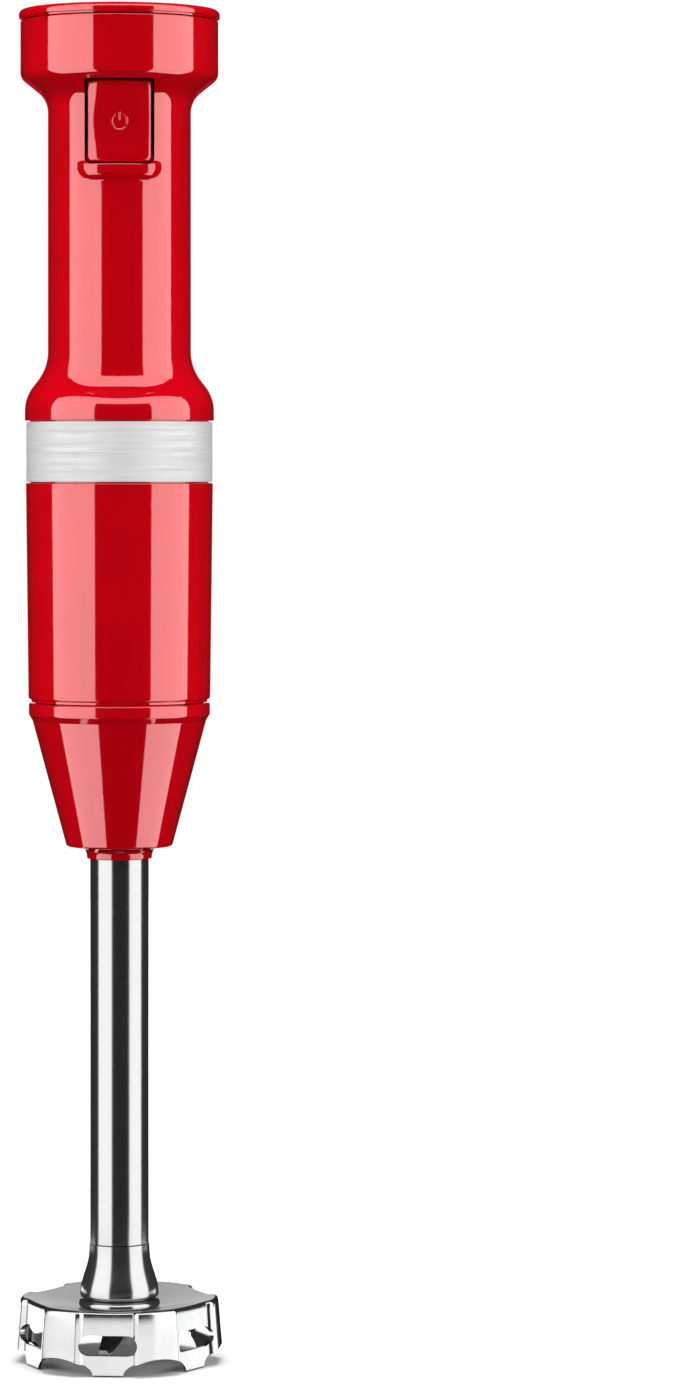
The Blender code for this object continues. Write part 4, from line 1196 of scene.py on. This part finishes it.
def reflector(name, start, end, bottom, top, radius, strength, corner=0):
    """A bright card bent round the axis between two directions in degrees, seen only in reflections.

    Without a corner it is an upright fence between two heights in metres. With one it is part of a dome
    between two elevations in degrees about the flare, and narrows by the corner's degrees at each end."""
    rows, columns = 16, 48
    work = bmesh.new()
    grid = []
    for j in range(rows + 1):
        share = j / rows
        level = bottom + (top - bottom) * share
        reach, height = radius, level
        if corner:
            reach = radius * math.cos(math.radians(level))
            height = SHELL_BOTTOM * MM + radius * math.sin(math.radians(level))
        cut = corner * (1 - math.sqrt(1 - share * share))
        line = []
        for i in range(columns + 1):
            angle = math.radians(start + cut + (end - start - 2 * cut) * i / columns)
            line.append(work.verts.new((reach * math.cos(angle), reach * math.sin(angle), height)))
        grid.append(line)
    for lower, upper in zip(grid, grid[1:]):
        for i in range(columns):
            work.faces.new((lower[i], lower[i + 1], upper[i + 1], upper[i]))
    card = stage_piece(name, work, glow(name, strength))
    card.visible_camera = False
    card.visible_diffuse = False
    card.visible_shadow = False


def stage_piece(name, work, material):
    """A piece of the studio, which isn't part of the object."""
    piece = add_object(name, work, material)
    return piece


def softbox(
    name, azimuth, distance, width, bottom, top, radiance, glossy=True, diffuse=True, colour=(1, 1, 1),
):
    """An upright rectangular light facing the axis; azimuth 0 is the camera's side, in degrees."""
    light = bpy.data.lights.new(name, "AREA")
    light.shape = "RECTANGLE"
    light.size = width
    light.size_y = top - bottom
    light.energy = radiance * math.pi * light.size * light.size_y
    light.color = colour
    holder = bpy.data.objects.new(name, light)
    turn = math.radians(azimuth)
    out = Vector((math.sin(turn), -math.cos(turn), 0))
    holder.location = out * distance + Vector((0, 0, (bottom + top) / 2))
    holder.rotation_mode = "QUATERNION"
    holder.rotation_quaternion = out.to_track_quat("Z", "Y")
    holder.visible_camera = False
    holder.visible_glossy = glossy
    holder.visible_diffuse = diffuse
    bpy.context.scene.collection.objects.link(holder)


def overhead_light():
    """A round light above that reflections don't see, for the soft shadows on the floor."""
    light = bpy.data.lights.new("top_light", "AREA")
    light.shape = "DISK"
    radius = 0.6
    light.size = 2 * radius
    light.energy = 8.5 * math.pi * math.pi * radius ** 2
    holder = bpy.data.objects.new("top_light", light)
    holder.location = (0, 0, 1.9)
    holder.visible_camera = False
    holder.visible_glossy = False
    bpy.context.scene.collection.objects.link(holder)


def make_lights():
    """Two softboxes for the strips, cards behind for the edges, fills at the sides, one light above."""
    tall = {"distance": 1.4, "bottom": -1.2, "top": 1.5, "radiance": 2.5}
    softbox("softbox_left", -60.5, width=1.62, **tall)
    softbox("softbox_right", 67.0, width=1.46, **tall)
    softbox(
        "back_card", 180, distance=0.35, width=0.14, bottom=0.012, top=0.29, radiance=0.68, diffuse=False,
    )
    softbox(
        "edge_card", 180, distance=0.16, width=0.16, bottom=0.17, top=0.46, radiance=0.45, diffuse=False,
        colour=(1, 0.0, 0.02),
    )
    overhead_light()
    fill = {"distance": 1.6, "width": 1.5, "bottom": 0.05, "top": 1.6, "radiance": 1.3, "glossy": False}
    softbox("fill_left", -96, **fill)
    softbox("fill_right", 96, **fill)


def make_world():
    """White behind the object for the camera, and almost dark for every other ray."""
    world = bpy.data.worlds.new("studio")
    bpy.context.scene.world = world
    world.use_nodes = True
    nodes, links = world.node_tree.nodes, world.node_tree.links
    background = nodes["Background"]
    ray = nodes.new("ShaderNodeLightPath")
    shade = new_node(nodes, "MapRange", To_Min=0.008, To_Max=1.05)
    links.new(ray.outputs["Is Camera Ray"], shade.inputs["Value"])
    links.new(shade.outputs["Result"], background.inputs["Strength"])
    background.inputs["Color"].default_value = (1, 1, 1, 1)


def make_camera():
    data = bpy.data.cameras.new("camera")
    data.lens = 127.46
    data.sensor_width = 36.0
    data.shift_y = -0.1626
    camera = bpy.data.objects.new("camera", data)
    camera.location = (0, -1.5112, 0.275)
    camera.rotation_euler = (math.radians(90), 0, math.radians(-2.571))
    bpy.context.scene.collection.objects.link(camera)
    bpy.context.scene.camera = camera


def colour_management():
    settings = bpy.context.scene.view_settings
    settings.view_transform = "Standard"
    settings.look = "None"


paint_cad_nodes()
make_front_handle()
make_rear_handle()
make_screws()
make_gland()
make_dial()
make_button()
make_band()
make_housing()
make_collar()
make_tube()
make_neck()
make_guard()
make_blade()
make_nut()
make_floor()
make_reflectors()
make_lights()
make_world()
make_camera()
colour_management()
